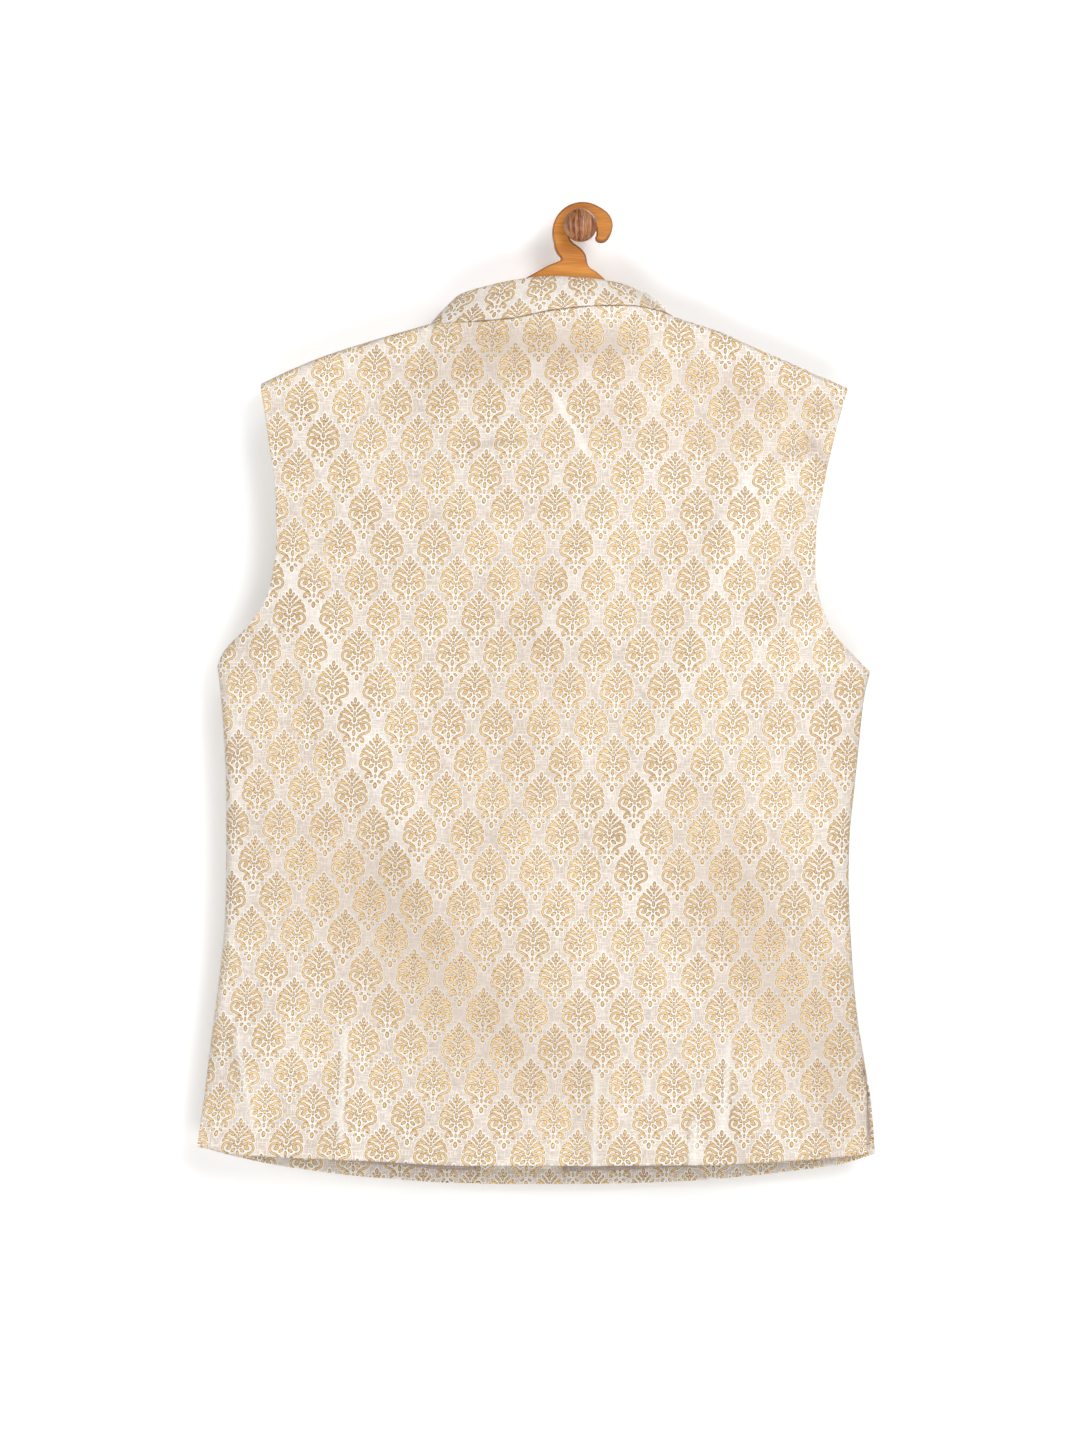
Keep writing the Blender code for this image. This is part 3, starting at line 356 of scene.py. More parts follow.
def make_brocade():
    made, tree, shader = new_material("brocade", 0.42, 0.2)
    place = cloth_place(tree)
    damask = place_group(tree, DAMASK, Place=place)
    weave = place_group(tree, WEAVE, Place=place)
    cloud = spread(tree, noise(tree, place, 30.0, 3.0), 0.38, 0.62)
    threads = calc(tree, "MULTIPLY", weave["Tone"], 1 - CLOUD_SHARE)
    tone = calc(tree, "MULTIPLY_ADD", cloud, CLOUD_SHARE, threads)
    ground = mix(tree, tone, GROUND_SHADE, GROUND_LIGHT)
    # Painted sheen: bands where the ground is painted paler and the gold darker, as satin looks where
    # it catches the light; there the roughness is also a little lower
    painted_sheen = mark(tree, "painted_sheen")
    # Painted highlight: the ground is painted near white close round each gold thread
    rim = calc(tree, "MULTIPLY", damask["Rim_highlight"], RIM_HIGHLIGHT_SHARE)
    painted_paleness = calc(tree, "MAXIMUM", rim, calc(tree, "MULTIPLY", painted_sheen, PAINTED_SHEEN_SHARE))
    ground = mix(tree, painted_paleness, ground, PAINTED_HIGHLIGHT)
    # Painted shade: broad zones where the ground is painted greyer, as satin looks where it turns away
    # from the light
    ground = mix(tree, mark(tree, "painted_shade", PAINTED_SHADE_SHARE), ground, GROUND_SHADE)
    glint = spread(tree, noise(tree, place, 1100.0, 1.0, (0.5, 1, 1)), 0.36, 0.64)
    # Painted light and shade: each gold thread is painted lighter in its middle and darker at its
    # edges, as on a raised thread
    bright = calc(tree, "MULTIPLY_ADD", damask["Lit_core"], 0.6, calc(tree, "MULTIPLY", glint, 0.4))
    rich = spread(tree, noise(tree, place, 16.0, 1.0), 0.36, 0.64, 0.88, 1.12)
    bright = calc(tree, "MULTIPLY", bright, calc(tree, "MULTIPLY_ADD", painted_sheen, SHEEN_GOLD_DARKENING, rich))
    thread = mix(tree, bright, GOLD_DARK, GOLD_LIGHT)
    # Painted highlight: the gold is painted near white along the ridges of pressed creases
    thread = mix(tree, mark(tree, "painted_crease_highlight", CREASE_HIGHLIGHT_SHARE), thread, PAINTED_HIGHLIGHT)
    woven = mix(tree, damask["Gold"], ground, thread)
    # Painted shade along the neck seam, in crease troughs and at the top of the vent, broken into short
    # dashes like a row of stitches
    stitch = spread(tree, noise(tree, place, 420.0, 1.0, (1, 0.05, 1)), 0.36, 0.6, 0.55, 1.0)
    painted_seam_shade = calc(tree, "MULTIPLY", mark(tree, "seam_shade"), stitch)
    tree.links.new(mix(tree, painted_seam_shade, woven, SEAM_DARK), shader.inputs["Base Color"])
    rough = calc(tree, "MULTIPLY_ADD", damask["Gold"], 0.12, 0.36)
    rough = calc(tree, "MULTIPLY_ADD", painted_sheen, -0.06, rough)
    tree.links.new(rough, shader.inputs["Roughness"])
    height = calc(tree, "MULTIPLY_ADD", weave["Rise"], 0.5, damask["Gold"])
    add_bump(tree, shader, height, 0.25 * MM, 1.0)
    return made


def make_lining():
    made, tree, shader = new_material("lining_satin", 0.36, 0.1)
    place = cloth_place(tree)
    weave = place_group(tree, WEAVE, Place=place)
    cloud = noise(tree, place, 25.0, 3.0)
    shade = calc(tree, "MULTIPLY_ADD", cloud, 0.6, calc(tree, "MULTIPLY", weave["Tone"], 0.4))
    color = mix(tree, spread(tree, shade, 0.35, 0.65), paint(184, 162, 152), paint(212, 194, 184))
    tree.links.new(color, shader.inputs["Base Color"])
    add_bump(tree, shader, weave["Rise"], 0.06 * MM, 0.6)
    return made


BROCADE = make_brocade()
LINING = make_lining()
print("cloth finishes", BROCADE.name, LINING.name)

# %% [markdown]
# The hanger is sawn from one orange board: its grain runs along the arms, and the saw has left the
# edges darker. The peg is turned from a redder, striped wood with its grain across the ball, and both
# have a thin varnish. The front's buttons are cast metal with a dull gold finish.


# %% Wood and metal finishes
def object_place(tree):
    return tree.nodes.new("ShaderNodeTexCoord").outputs["Object"]


def make_board_wood(name, dark, light, roughness):
    made, tree, shader = new_material(name, roughness)
    place = object_place(tree)
    grain = noise(tree, place, 90.0, 4.0, (0.16, 1, 1))
    fine = noise(tree, place, 900.0, 2.0, (0.05, 1, 1))
    pores = noise(tree, place, 1600.0, 1.0, (0.08, 1, 1))
    share = calc(tree, "MULTIPLY_ADD", fine, 0.35, calc(tree, "MULTIPLY", grain, 0.65))
    color = mix(tree, spread(tree, share, 0.33, 0.66), dark, light)
    specks = spread(tree, pores, 0.66, 0.74)
    color = mix(tree, calc(tree, "MULTIPLY", specks, 0.35), color, paint(120, 70, 30))
    tree.links.new(color, shader.inputs["Base Color"])
    tree.links.new(calc(tree, "MULTIPLY_ADD", fine, 0.16, roughness - 0.06), shader.inputs["Roughness"])
    shader.inputs["Coat Weight"].default_value = 0.25
    shader.inputs["Coat Roughness"].default_value = 0.2
    add_bump(tree, shader, fine, 0.08 * MM, 0.5)
    return made


SHANK_RADIUS = 6.2
BALL_RADIUS = 12.7
BALL_Y = -59.8
RING_BOW = 0.32


def make_peg_wood():
    """Growth rings stand upright on the ball and bow outwards, as the grain lies across the peg."""
    made, tree, shader = new_material("peg_wood", 0.42)
    place = object_place(tree)
    split = tree.nodes.new("ShaderNodeSeparateXYZ")
    tree.links.new(place, split.inputs[0])
    height = calc(tree, "MULTIPLY", split.outputs["Z"], split.outputs["Z"])
    bow = calc(tree, "MULTIPLY_ADD", height, RING_BOW / (BALL_RADIUS * MM) ** 2, 1.0)
    joined = tree.nodes.new("ShaderNodeCombineXYZ")
    tree.links.new(calc(tree, "MULTIPLY", split.outputs["X"], bow), joined.inputs["X"])
    tree.links.new(split.outputs["Y"], joined.inputs["Y"])
    tree.links.new(split.outputs["Z"], joined.inputs["Z"])
    rings = noise(tree, joined.outputs[0], 330.0, 2.0, (1, 0.1, 0.02))
    streaks = noise(tree, joined.outputs[0], 1100.0, 2.0, (1, 0.3, 0.06))
    share = calc(tree, "MULTIPLY_ADD", streaks, 0.45, calc(tree, "MULTIPLY", rings, 0.55))
    color = mix(tree, spread(tree, share, 0.4, 0.6), paint(118, 56, 30), paint(192, 134, 88))
    tree.links.new(color, shader.inputs["Base Color"])
    shader.inputs["Coat Weight"].default_value = 0.2
    shader.inputs["Coat Roughness"].default_value = 0.34
    add_bump(tree, shader, streaks, 0.06 * MM, 0.5)
    return made


def make_button_metal():
    made, tree, shader = new_material("button_metal", 0.34)
    place = object_place(tree)
    tarnish = noise(tree, place, 260.0, 4.0)
    color = mix(tree, spread(tree, tarnish, 0.35, 0.7), paint(160, 122, 66), paint(222, 184, 112))
    tree.links.new(color, shader.inputs["Base Color"])
    shader.inputs["Metallic"].default_value = 0.9
    tree.links.new(calc(tree, "MULTIPLY_ADD", tarnish, 0.3, 0.2), shader.inputs["Roughness"])
    add_bump(tree, shader, tarnish, 0.05 * MM, 0.4)
    return made


BOARD_FACE = make_board_wood("hanger_wood", paint(190, 110, 30), paint(224, 150, 56), 0.42)
BOARD_EDGE = make_board_wood("hanger_edge", paint(150, 90, 42), paint(206, 138, 76), 0.5)
PEG_WOOD = make_peg_wood()
BUTTON_METAL = make_button_metal()
print("hard finishes", BOARD_FACE.name, BOARD_EDGE.name, PEG_WOOD.name, BUTTON_METAL.name)

# %% [markdown]
# The jacket's outline is a handful of heights and widths, as a pattern cutter would note them. A smooth
# curve runs through each short table. The edges bound a patch, and every point of a panel lies in that
# patch at a depth that follows from how far it is from the seams: round at the side seams, folded over
# the hanger at the shoulders, and open at the armholes.

# %% The cut's tables
CLOTH = 1.6
TURNED = 2.4
TURN_UP = 11.0
HALF_GAP = 0.15
MID_Y = -42.0
BACK_DEPTH = 25.0
FRONT_DEPTH = 21.5
OVERLAP_STEP = 2.9
RIDGE_Y = 10.0
RIDGE_Z = 8.0
NECK_FALL = 75.0
NECK_SPREAD = 0.45
NECK_SOFTEN = 1.1
FRONT_SPREAD = 0.3
SHOULDER_FALL = 150.0
SIDE_ROUND = 2.4
FREE_ROUND = 3
ARMHOLE_GAP = 12.0
ARMHOLE_OPENS = 0.35
OPEN_ABOVE = 45.0
NECK_BEND = 4
LEFT_SIDE = [{"z": -706.6, "x": -294.8}, {"z": -666, "x": -289.1}, {"z": -630, "x": -284.9},
             {"z": -579, "x": -278.2}, {"z": -531, "x": -273.6}, {"z": -490, "x": -272.6},
             {"z": -440, "x": -272.6}, {"z": -394, "x": -274.4}, {"z": -360, "x": -276.9},
             {"z": -338, "x": -279.5}]
LEFT_ARMHOLE = [{"z": -338, "x": -279.5}, {"z": -330, "x": -276.6}, {"z": -321, "x": -269.7},
                {"z": -312, "x": -260.5}, {"z": -301, "x": -250.9}, {"z": -286.5, "x": -241.5},
                {"z": -271, "x": -236.6}, {"z": -240, "x": -232.9}, {"z": -211, "x": -233.3},
                {"z": -160, "x": -239.5}, {"z": -120.2, "x": -245.5}]
RIGHT_SIDE = [{"z": -712.5, "x": 227.2}, {"z": -675, "x": 224.2}, {"z": -639, "x": 218.3},
              {"z": -605, "x": 213}, {"z": -564, "x": 209.4}, {"z": -501, "x": 206.6},
              {"z": -470, "x": 207.3}, {"z": -432, "x": 211.1}, {"z": -400, "x": 214.3},
              {"z": -364, "x": 218.3}, {"z": -342, "x": 223.2}]
RIGHT_ARMHOLE = [{"z": -342, "x": 223.2}, {"z": -336, "x": 217}, {"z": -329, "x": 210},
                 {"z": -314, "x": 196.1}, {"z": -299.6, "x": 188.4}, {"z": -285, "x": 182.9},
                 {"z": -264, "x": 179.8}, {"z": -233, "x": 180.7}, {"z": -209, "x": 184.6},
                 {"z": -158.7, "x": 195.3}, {"z": -123.3, "x": 205.4}]
BACK_HEM = [{"x": -294.8, "z": -706.6}, {"x": -260, "z": -712.2}, {"x": -176, "z": -715.2},
            {"x": -81, "z": -718.8}, {"x": 30, "z": -718.4}, {"x": 92, "z": -718},
            {"x": 150, "z": -716}, {"x": 227.2, "z": -711}]
FRONT_HEM = [{"x": -294.8, "z": -706.6}, {"x": -260, "z": -716.5}, {"x": -223, "z": -724.3},
             {"x": -152, "z": -733}, {"x": -77, "z": -737.3}, {"x": -12, "z": -737.5},
             {"x": 63, "z": -736}, {"x": 128, "z": -731}, {"x": 198, "z": -721.4},
             {"x": 227.2, "z": -712.5}]
LEFT_SHOULDER = [{"x": -245.5, "z": -120.2}, {"x": -224, "z": -110}, {"x": -199, "z": -99.6},
                 {"x": -158, "z": -86.3}, {"x": -115.2, "z": -74}]
RIGHT_SHOULDER = [{"x": 72.2, "z": -68.6}, {"x": 105, "z": -79.3}, {"x": 142.6, "z": -95.6},
                  {"x": 205.4, "z": -123.3}]
BACK_NECK = [{"x": -115.2, "z": -74}, {"x": -89, "z": -74.3}, {"x": -55, "z": -72.3},
             {"x": -22, "z": -66.1}, {"x": 13, "z": -62.5}, {"x": 38, "z": -61.9},
             {"x": 57.5, "z": -64.4}, {"x": 72.2, "z": -68.6}]
VENT_HEIGHT = 80.0
VENT_LAP = 6.5
VENT_OPEN = 3.0
CENTRE_TOP_X = -21.5
CENTRE_TOP_Z = -140.0
CENTRE_FOOT_X = -57.0
CENTRE_FOOT_Z = -737.5
BUTTON_STAND = 22.0
FRONT_NECK_CURVE = 2.2
EDGE_DROP = 1.5
COLLAR_WALL = 2.2
COLLAR_HALF_WIDTH = 93.7
COLLAR_BACK_DEPTH = 27.0
COLLAR_FRONT_DEPTH = 23.5
FRONT_RING_CURVE = 0.75
COLLAR_TOP_CENTRE_X = -20.5
COLLAR_TOP_HALF_WIDTH = 77.0
COLLAR_TOP_BACK_DEPTH = 13.5
COLLAR_TOP_FRONT_DEPTH = 16.5
COLLAR_TOP_CURVE = 2.3
COLLAR_TOP_FRONT_Z = -109.0
COLLAR_TOP = [{"turn": 0, "z": -56.5}, {"turn": 22, "z": -51.4}, {"turn": 45, "z": -46.4},
              {"turn": 68, "z": -40.9}, {"turn": 88, "z": -38.5}, {"turn": 108, "z": -39.5},
              {"turn": 130, "z": -43.2}, {"turn": 152, "z": -49.4}, {"turn": 180, "z": -55.2}]
COLLAR_CORNER = 13.0
COLLAR_END_GAP = 1.5
COLLAR_BULGE = 1.2
COLLAR_LIFT = 0.55
NECK_LEAN = 0.9
COLLAR_MID_X = (BACK_NECK[0]["x"] + BACK_NECK[-1]["x"]) / 2
UNDERARM = 0.61
NECK_START = 0.29
NECK_END = 0.71
SHOULDER_SHARE = 0.52
NECK_SHARE = 0.9

# %% [markdown]
# A fold is a line on the cloth, a width and a rise: a ridge if the rise is positive and a trough if it
# is negative. The broad ones are the drape of the whole back, the upright ones at the hem are flutes,
# and the thin ones are creases from folding and from the pull at the armholes.


# %% The folds
def fold(start, end, width, rise):
    """A fold from one place (x, z) to another, in millimetres."""
    return {"x0": start[0], "z0": start[1], "x1": end[0], "z1": end[1], "width": width, "rise": rise}


BACK_FOLDS = [
    fold((128, -215), (48, -470), 34, 4.6),
    fold((5, -240), (-28, -320), 22, 2.6),
    fold((-226, -300), (-120, -500), 26, 3.8),
    fold((-150, -520), (-160, -650), 56, -4.6),
    fold((-30, -90), (20, -96), 14, -3.4),
    fold((-170, -120), (-140, -190), 24, -3.2),
    fold((-258, -640), (-262, -716), 15, 2.6),
    fold((-179, -620), (-181, -720), 14, 2.6),
    fold((-90, -655), (-94, -722), 16, 1.8),
    fold((13, -640), (11, -722), 12, 2.4),
    fold((108, -620), (105, -722), 15, 3.0),
    fold((178, -640), (182, -716), 14, 2.0),
    fold((180, -175), (150, -235), 12, 1.8),
]
BACK_CREASES = [
    fold((-79, -168), (-50, -166), 3.0, -1.5),
    fold((52, -623), (52, -680), 2.6, 1.5),
    fold((87, -690), (86, -722), 4.5, 2.2),
    fold((-180, -617), (-184, -698), 3.2, 2.2),
    fold((12, -650), (10, -722), 3.2, 2.0),
    fold((114, -628), (110, -684), 3.6, 2.0),
    fold((110, -690), (112, -724), 12.0, 2.8),
    fold((-21, -132), (0, -172), 2.6, 1.3),
    fold((176, -168), (190, -184), 4.0, -1.5),
    fold((150, -178), (172, -172), 4.5, -1.1),
    fold((-264, -620), (-252, -688), 3.6, 1.8),
    fold((-225, -180), (-190, -196), 6.0, -1.1),
    fold((-262, -345), (-205, -372), 9.0, -0.9),
    fold((208, -352), (150, -384), 9.0, -0.9),
    fold((-60, -78), (-78, -112), 6.0, -0.8),
    fold((48, -72), (74, -116), 7.0, -0.8),
    fold((-66, -90), (-18, -95), 11.0, -2.4),
    fold((-218, -322), (-128, -478), 13.0, 1.6),
    fold((122, -214), (44, -460), 15.0, 1.6),
    fold((6, -246), (-24, -306), 11.0, 1.3),
]
FRONT_FOLDS = [
    fold((-200, -280), (-110, -480), 30, 2.4),
    fold((150, -280), (70, -500), 30, 2.4),
    fold((-215, -610), (-225, -730), 18, 2.4),
    fold((-140, -640), (-146, -738), 15, 1.8),
    fold((60, -640), (62, -738), 17, 2.2),
    fold((150, -620), (158, -730), 16, 2.4),
]
FRONT_CREASES = [
    fold((-190, -190), (-226, -206), 6, -0.8),
    fold((140, -190), (176, -206), 6, -0.8),
    fold((-120, -110), (-60, -190), 9, -0.9),
    fold((84, -108), (26, -186), 9, -0.9),
    fold((-250, -350), (-190, -380), 9, -0.9),
    fold((200, -352), (140, -386), 9, -0.9),
    fold((-160, -520), (-150, -600), 8, 0.8),
    fold((110, -560), (100, -640), 8, 0.8),
]
print("folds and creases", sum(map(len, (BACK_FOLDS, BACK_CREASES, FRONT_FOLDS, FRONT_CREASES))))

# %% [markdown]
# Satin shines where it faces the light and looks greyer where it turns away. On real cloth that follows
# slacks and pulls too shallow to model, so bands of the same kind say where, and the brocade's colour
# is painted there: paler for a painted sheen, greyer for painted shade. Here the last number is a share
# of the full effect, and nothing is raised.

# %% Painted sheen and painted shade
BACK_SHEEN = [
    fold((-222, -268), (-132, -466), 17, 0.9),
    fold((126, -212), (42, -462), 14, 0.75),
    fold((32, -462), (56, -518), 12, 0.8),
    fold((-36, -112), (-2, -168), 11, 0.5),
    fold((-40, -112), (-84, -168), 12, 0.5),
    fold((5, -246), (-24, -306), 14, 0.6),
    fold((112, -650), (111, -724), 10, 0.8),
    fold((-268, -396), (-266, -560), 12, 0.5),
    fold((196, -346), (198, -520), 12, 0.5),
    fold((-206, -146), (-176, -206), 14, 0.6),
    fold((82, -84), (186, -122), 8, 0.4),
    fold((-112, -86), (-222, -122), 9, 0.5),
]
# Bands of painted shade on the back
BACK_PAINTED_SHADE = [
    fold((-66, -90), (20, -92), 14, 0.9),
    fold((-100, -112), (40, -112), 18, 0.4),
    fold((30, -150), (150, -160), 20, 0.4),
    fold((-150, -530), (-70, -610), 48, 0.7),
    fold((120, -520), (175, -620), 38, 0.7),
    fold((90, -118), (175, -140), 14, 0.5),
    fold((-30, -330), (-60, -450), 40, 0.25),
]
FRONT_SHEEN = [
    fold((-206, -250), (-116, -470), 18, 0.8),
    fold((156, -250), (72, -480), 18, 0.8),
    fold((-70, -320), (-84, -640), 14, 0.5),
    fold((180, -420), (176, -640), 14, 0.5),
]
print("bands of sheen and dullness", len(BACK_SHEEN) + len(BACK_PAINTED_SHADE) + len(FRONT_SHEEN))


# %% Curves and folds as functions
def column(rows, name):
    return np.array([row[name] for row in rows], float)


def smooth_through(rows, key, value, at):
    """A smooth curve through a table's rows, without overshoot, read at the given places."""
    known = column(rows, key)
    values = column(rows, value)
    order = np.argsort(known)
    known = known[order]
    values = values[order]
    slope = np.diff(values) / np.diff(known)
    tangent = np.empty_like(values)
    tangent[0] = slope[0]
    tangent[-1] = slope[-1]
    turning = slope[:-1] * slope[1:] <= 0
    middle = 2 * slope[:-1] * slope[1:] / np.where(turning, 1, slope[:-1] + slope[1:])
    tangent[1:-1] = np.where(turning, 0, middle)
    at = np.clip(np.asarray(at, float), known[0], known[-1])
    left = np.clip(np.searchsorted(known, at, side="right") - 1, 0, len(known) - 2)
    step = known[left + 1] - known[left]
    u = (at - known[left]) / step
    return ((2 * u**3 - 3 * u**2 + 1) * values[left] + (u**3 - 2 * u**2 + u) * step * tangent[left]
            + (3 * u**2 - 2 * u**3) * values[left + 1] + (u**3 - u**2) * step * tangent[left + 1])


def ease(value, low, high):
    """0 up to low, 1 from high on, and a smooth step between."""
    u = np.clip((np.asarray(value, float) - low) / (high - low), 0, 1)
    return u * u * (3 - 2 * u)


def unit(vector):
    return vector / np.linalg.norm(vector, axis=-1, keepdims=True)


def fold_height(folds, x, z):
    """Sum of the soft folds at the given points: each is a hill along its line, with round ends."""
    total = np.zeros_like(x)
    for fold in folds:
        run_x = fold["x1"] - fold["x0"]
        run_z = fold["z1"] - fold["z0"]
        length = math.hypot(run_x, run_z)
        along = ((x - fold["x0"]) * run_x + (z - fold["z0"]) * run_z) / length
        across = ((x - fold["x0"]) * run_z - (z - fold["z0"]) * run_x) / length
        beyond = np.maximum(0, np.maximum(-along, along - length))
        reach = np.hypot(across, beyond * 0.5)
        total += fold["rise"] * np.exp(-((reach / fold["width"]) ** 2))
    return total


# %% [markdown]
# The neck seam is one closed ring, an oval when seen from above. The back's top edge, the fronts' top
# edges and the collar all read the same ring, so they meet without a fit. The upper front is pushed
# out a little where it passes over the lower one.


# %% Edges and the neck ring
def centre_x(z):
    """The centre front line, which leans a little as the jacket hangs."""
    share = (CENTRE_TOP_Z - z) / (CENTRE_TOP_Z - CENTRE_FOOT_Z)
    return CENTRE_TOP_X + (CENTRE_FOOT_X - CENTRE_TOP_X) * share


def overlap_step(x, z):
    """How far the upper front stands off, so that it passes over the lower one."""
    edge = centre_x(z) - BUTTON_STAND
    return OVERLAP_STEP * ease(x, edge - 38, edge - 4)


def left_edge(z):
    low = smooth_through(LEFT_SIDE, "z", "x", z)
    high = smooth_through(LEFT_ARMHOLE, "z", "x", z)
    return np.where(z > LEFT_ARMHOLE[0]["z"], high, low)


def right_edge(z):
    low = smooth_through(RIGHT_SIDE, "z", "x", z)
    high = smooth_through(RIGHT_ARMHOLE, "z", "x", z)
    return np.where(z > RIGHT_ARMHOLE[0]["z"], high, low)


def vent_share(z, foot):
    """0 above a side vent, growing to 1 at its foot."""
    return ease(z, foot + VENT_HEIGHT, foot)


def front_ring_depth(turn):
    return COLLAR_FRONT_DEPTH * np.abs(np.sin(turn)) ** FRONT_RING_CURVE


def neck_ring(turn, at_front):
    """The neck seam, seen from above an oval: turn is 0 at its left end and pi at its right."""
    x = COLLAR_MID_X - COLLAR_HALF_WIDTH * np.cos(turn)
    if not at_front:
        y = MID_Y - HALF_GAP - COLLAR_BACK_DEPTH * np.sin(turn)
        return x, y, smooth_through(BACK_NECK, "x", "z", x)
    y = MID_Y + HALF_GAP + front_ring_depth(turn)
    side = np.where(turn < math.pi / 2, BACK_NECK[0]["z"], BACK_NECK[-1]["z"])
    z = side + (CENTRE_TOP_Z - side) * np.abs(np.sin(turn)) ** FRONT_NECK_CURVE
    y = y + np.where(turn < math.pi / 2, overlap_step(x, z), 0)
    return x, y, z


def blend_patch(s, t, foot, top, left, right):
    """Sideways place and height inside four edge curves, each a function of a share along it."""
    x = np.zeros_like(s)
    z = np.zeros_like(s)
    zero = np.zeros(1)
    one = np.ones(1)
    corners = [foot(zero), foot(one), top(zero), top(one)]
    for axis, out in ((0, x), (1, z)):
        out += (1 - t) * foot(s)[axis] + t * top(s)[axis]
        out += (1 - s) * left(t)[axis] + s * right(t)[axis]
        out -= (1 - s) * (1 - t) * corners[0][axis] + s * (1 - t) * corners[1][axis]
        out -= (1 - s) * t * corners[2][axis] + s * t * corners[3][axis]
    return x, z


def edge_run(edge, foot_z, underarm_z, tip_z):
    """A side edge as a function of its share: side seam up to UNDERARM, then the armhole."""
    def place(t):
        low = foot_z + (underarm_z - foot_z) * np.clip(t / UNDERARM, 0, 1)
        high = underarm_z + (tip_z - underarm_z) * np.clip((t - UNDERARM) / (1 - UNDERARM), 0, 1)
        z = np.where(t < UNDERARM, low, high)
        return edge(z), z
    return place


LEFT_RUN = edge_run(left_edge, LEFT_SIDE[0]["z"], LEFT_ARMHOLE[0]["z"], LEFT_ARMHOLE[-1]["z"])
RIGHT_RUN = edge_run(right_edge, RIGHT_SIDE[0]["z"], RIGHT_ARMHOLE[0]["z"], RIGHT_ARMHOLE[-1]["z"])


def shoulder_run(rows, share):
    x = rows[0]["x"] + (rows[-1]["x"] - rows[0]["x"]) * np.clip(share, 0, 1)
    return x, smooth_through(rows, "x", "z", x)


def back_foot(s):
    x = LEFT_SIDE[0]["x"] + (RIGHT_SIDE[0]["x"] - VENT_LAP - LEFT_SIDE[0]["x"]) * s
    return x, smooth_through(BACK_HEM, "x", "z", x)


def back_right(t):
    x, z = RIGHT_RUN(t)
    return x - VENT_LAP * vent_share(z, RIGHT_SIDE[0]["z"]), z


def back_top(s):
    left = shoulder_run(LEFT_SHOULDER, s / NECK_START)
    right = shoulder_run(RIGHT_SHOULDER, (s - NECK_END) / (1 - NECK_END))
    turn = math.pi * np.clip((s - NECK_START) / (NECK_END - NECK_START), 0, 1)
    neck_x, _, neck_z = neck_ring(turn, False)
    x = np.where(s < NECK_START, left[0], np.where(s > NECK_END, right[0], neck_x))
    z = np.where(s < NECK_START, left[1], np.where(s > NECK_END, right[1], neck_z))
    return x, z


def front_top(rows, sign):
    """A front's top edge from its shoulder tip to its front edge."""
    def place(s):
        share = s if sign < 0 else 1 - s
        along = np.clip(share / SHOULDER_SHARE, 0, 1)
        shoulder = shoulder_run(rows, along if sign < 0 else 1 - along)
        around = np.clip((share - SHOULDER_SHARE) / (NECK_SHARE - SHOULDER_SHARE), 0, 1)
        turn = math.pi / 2 * around if sign < 0 else math.pi - math.pi / 2 * around
        neck_x, _, neck_z = neck_ring(turn, True)
        stand = np.clip((share - NECK_SHARE) / (1 - NECK_SHARE), 0, 1)
        x = np.where(share < SHOULDER_SHARE, shoulder[0], neck_x - sign * BUTTON_STAND * stand)
        drop = EDGE_DROP * ease(stand, 0, 0.4)
        z = np.where(share < SHOULDER_SHARE, shoulder[1], neck_z - drop)
        return x, z
    return place


def front_edge(sign):
    def place(t):
        z = CENTRE_FOOT_Z + (CENTRE_TOP_Z - EDGE_DROP - CENTRE_FOOT_Z) * t
        return centre_x(z) - sign * BUTTON_STAND, z
    return place


def front_foot(sign):
    def place(s):
        edge = centre_x(np.full_like(s, CENTRE_FOOT_Z)) - sign * BUTTON_STAND
        start = LEFT_SIDE[0]["x"] if sign < 0 else edge
        end = edge if sign < 0 else RIGHT_SIDE[0]["x"]
        x = start + (end - start) * s
        return x, smooth_through(FRONT_HEM, "x", "z", x)
    return place


# %% [markdown]
# Depth is the heart of the shape. Near a side seam the section closes like a flattened oval, along an
# armhole it stays open, and at the shoulder it turns over the board in a tight arch. The folds are
# added last, and they fade out towards the seams, where the sewing holds the cloth flat.


# %% Depth of the panels
FOLD_START = 4
FOLD_FULL = 40
FOLD_DEPTH = 12
CREASE_START = 2
CREASE_WHOLE = 12


def side_profile(x, z, left_x, right_x, depth, seam_depth):
    """Depth of a panel from its distance to the side edges, closed at the seams and open at the
    armholes and vents."""
    middle = (left_x + right_x) / 2
    half = (right_x - left_x) / 2
    off = np.clip(np.abs(x - middle) / half, 0, 1)
    underarm = np.where(x < middle, LEFT_ARMHOLE[0]["z"], RIGHT_ARMHOLE[0]["z"])
    tip = np.where(x < middle, LEFT_ARMHOLE[-1]["z"], RIGHT_ARMHOLE[-1]["z"])
    foot = np.where(x < middle, LEFT_SIDE[0]["z"], RIGHT_SIDE[0]["z"])
    rise = np.clip((z - underarm) / (tip - underarm), 0, 1)
    armhole = HALF_GAP + ARMHOLE_GAP * np.sin(math.pi / 2 * np.minimum(1, rise / ARMHOLE_OPENS))
    vent = HALF_GAP + seam_depth * vent_share(z, foot)
    edge = np.where(z > underarm, armhole, vent)
    closed = (1 - off**SIDE_ROUND) ** (1 / SIDE_ROUND)
    free = 1 - off**FREE_ROUND
    openness = np.maximum(ease(z, underarm, underarm + OPEN_ABOVE), vent_share(z, foot))
    shape = closed + (free - closed) * openness
    return edge + (depth - edge) * shape


def shoulder_arch(below, at_neck):
    """The fold over the hanger's board: depth at a distance below the top edge."""
    share = np.clip(below / RIDGE_Z, 0, 1)
    arch = RIDGE_Y * (1 - (1 - share) ** 3) ** (1 / 3)
    return arch * (1 - at_neck) + at_neck * NECK_BEND * share


def fold_room(below, body):
    """0 at the top edge and where the panel is thin, and 1 where a broad fold has its full height."""
    return ease(below, FOLD_START, FOLD_FULL) * np.clip((body - HALF_GAP) / FOLD_DEPTH, 0, 1)


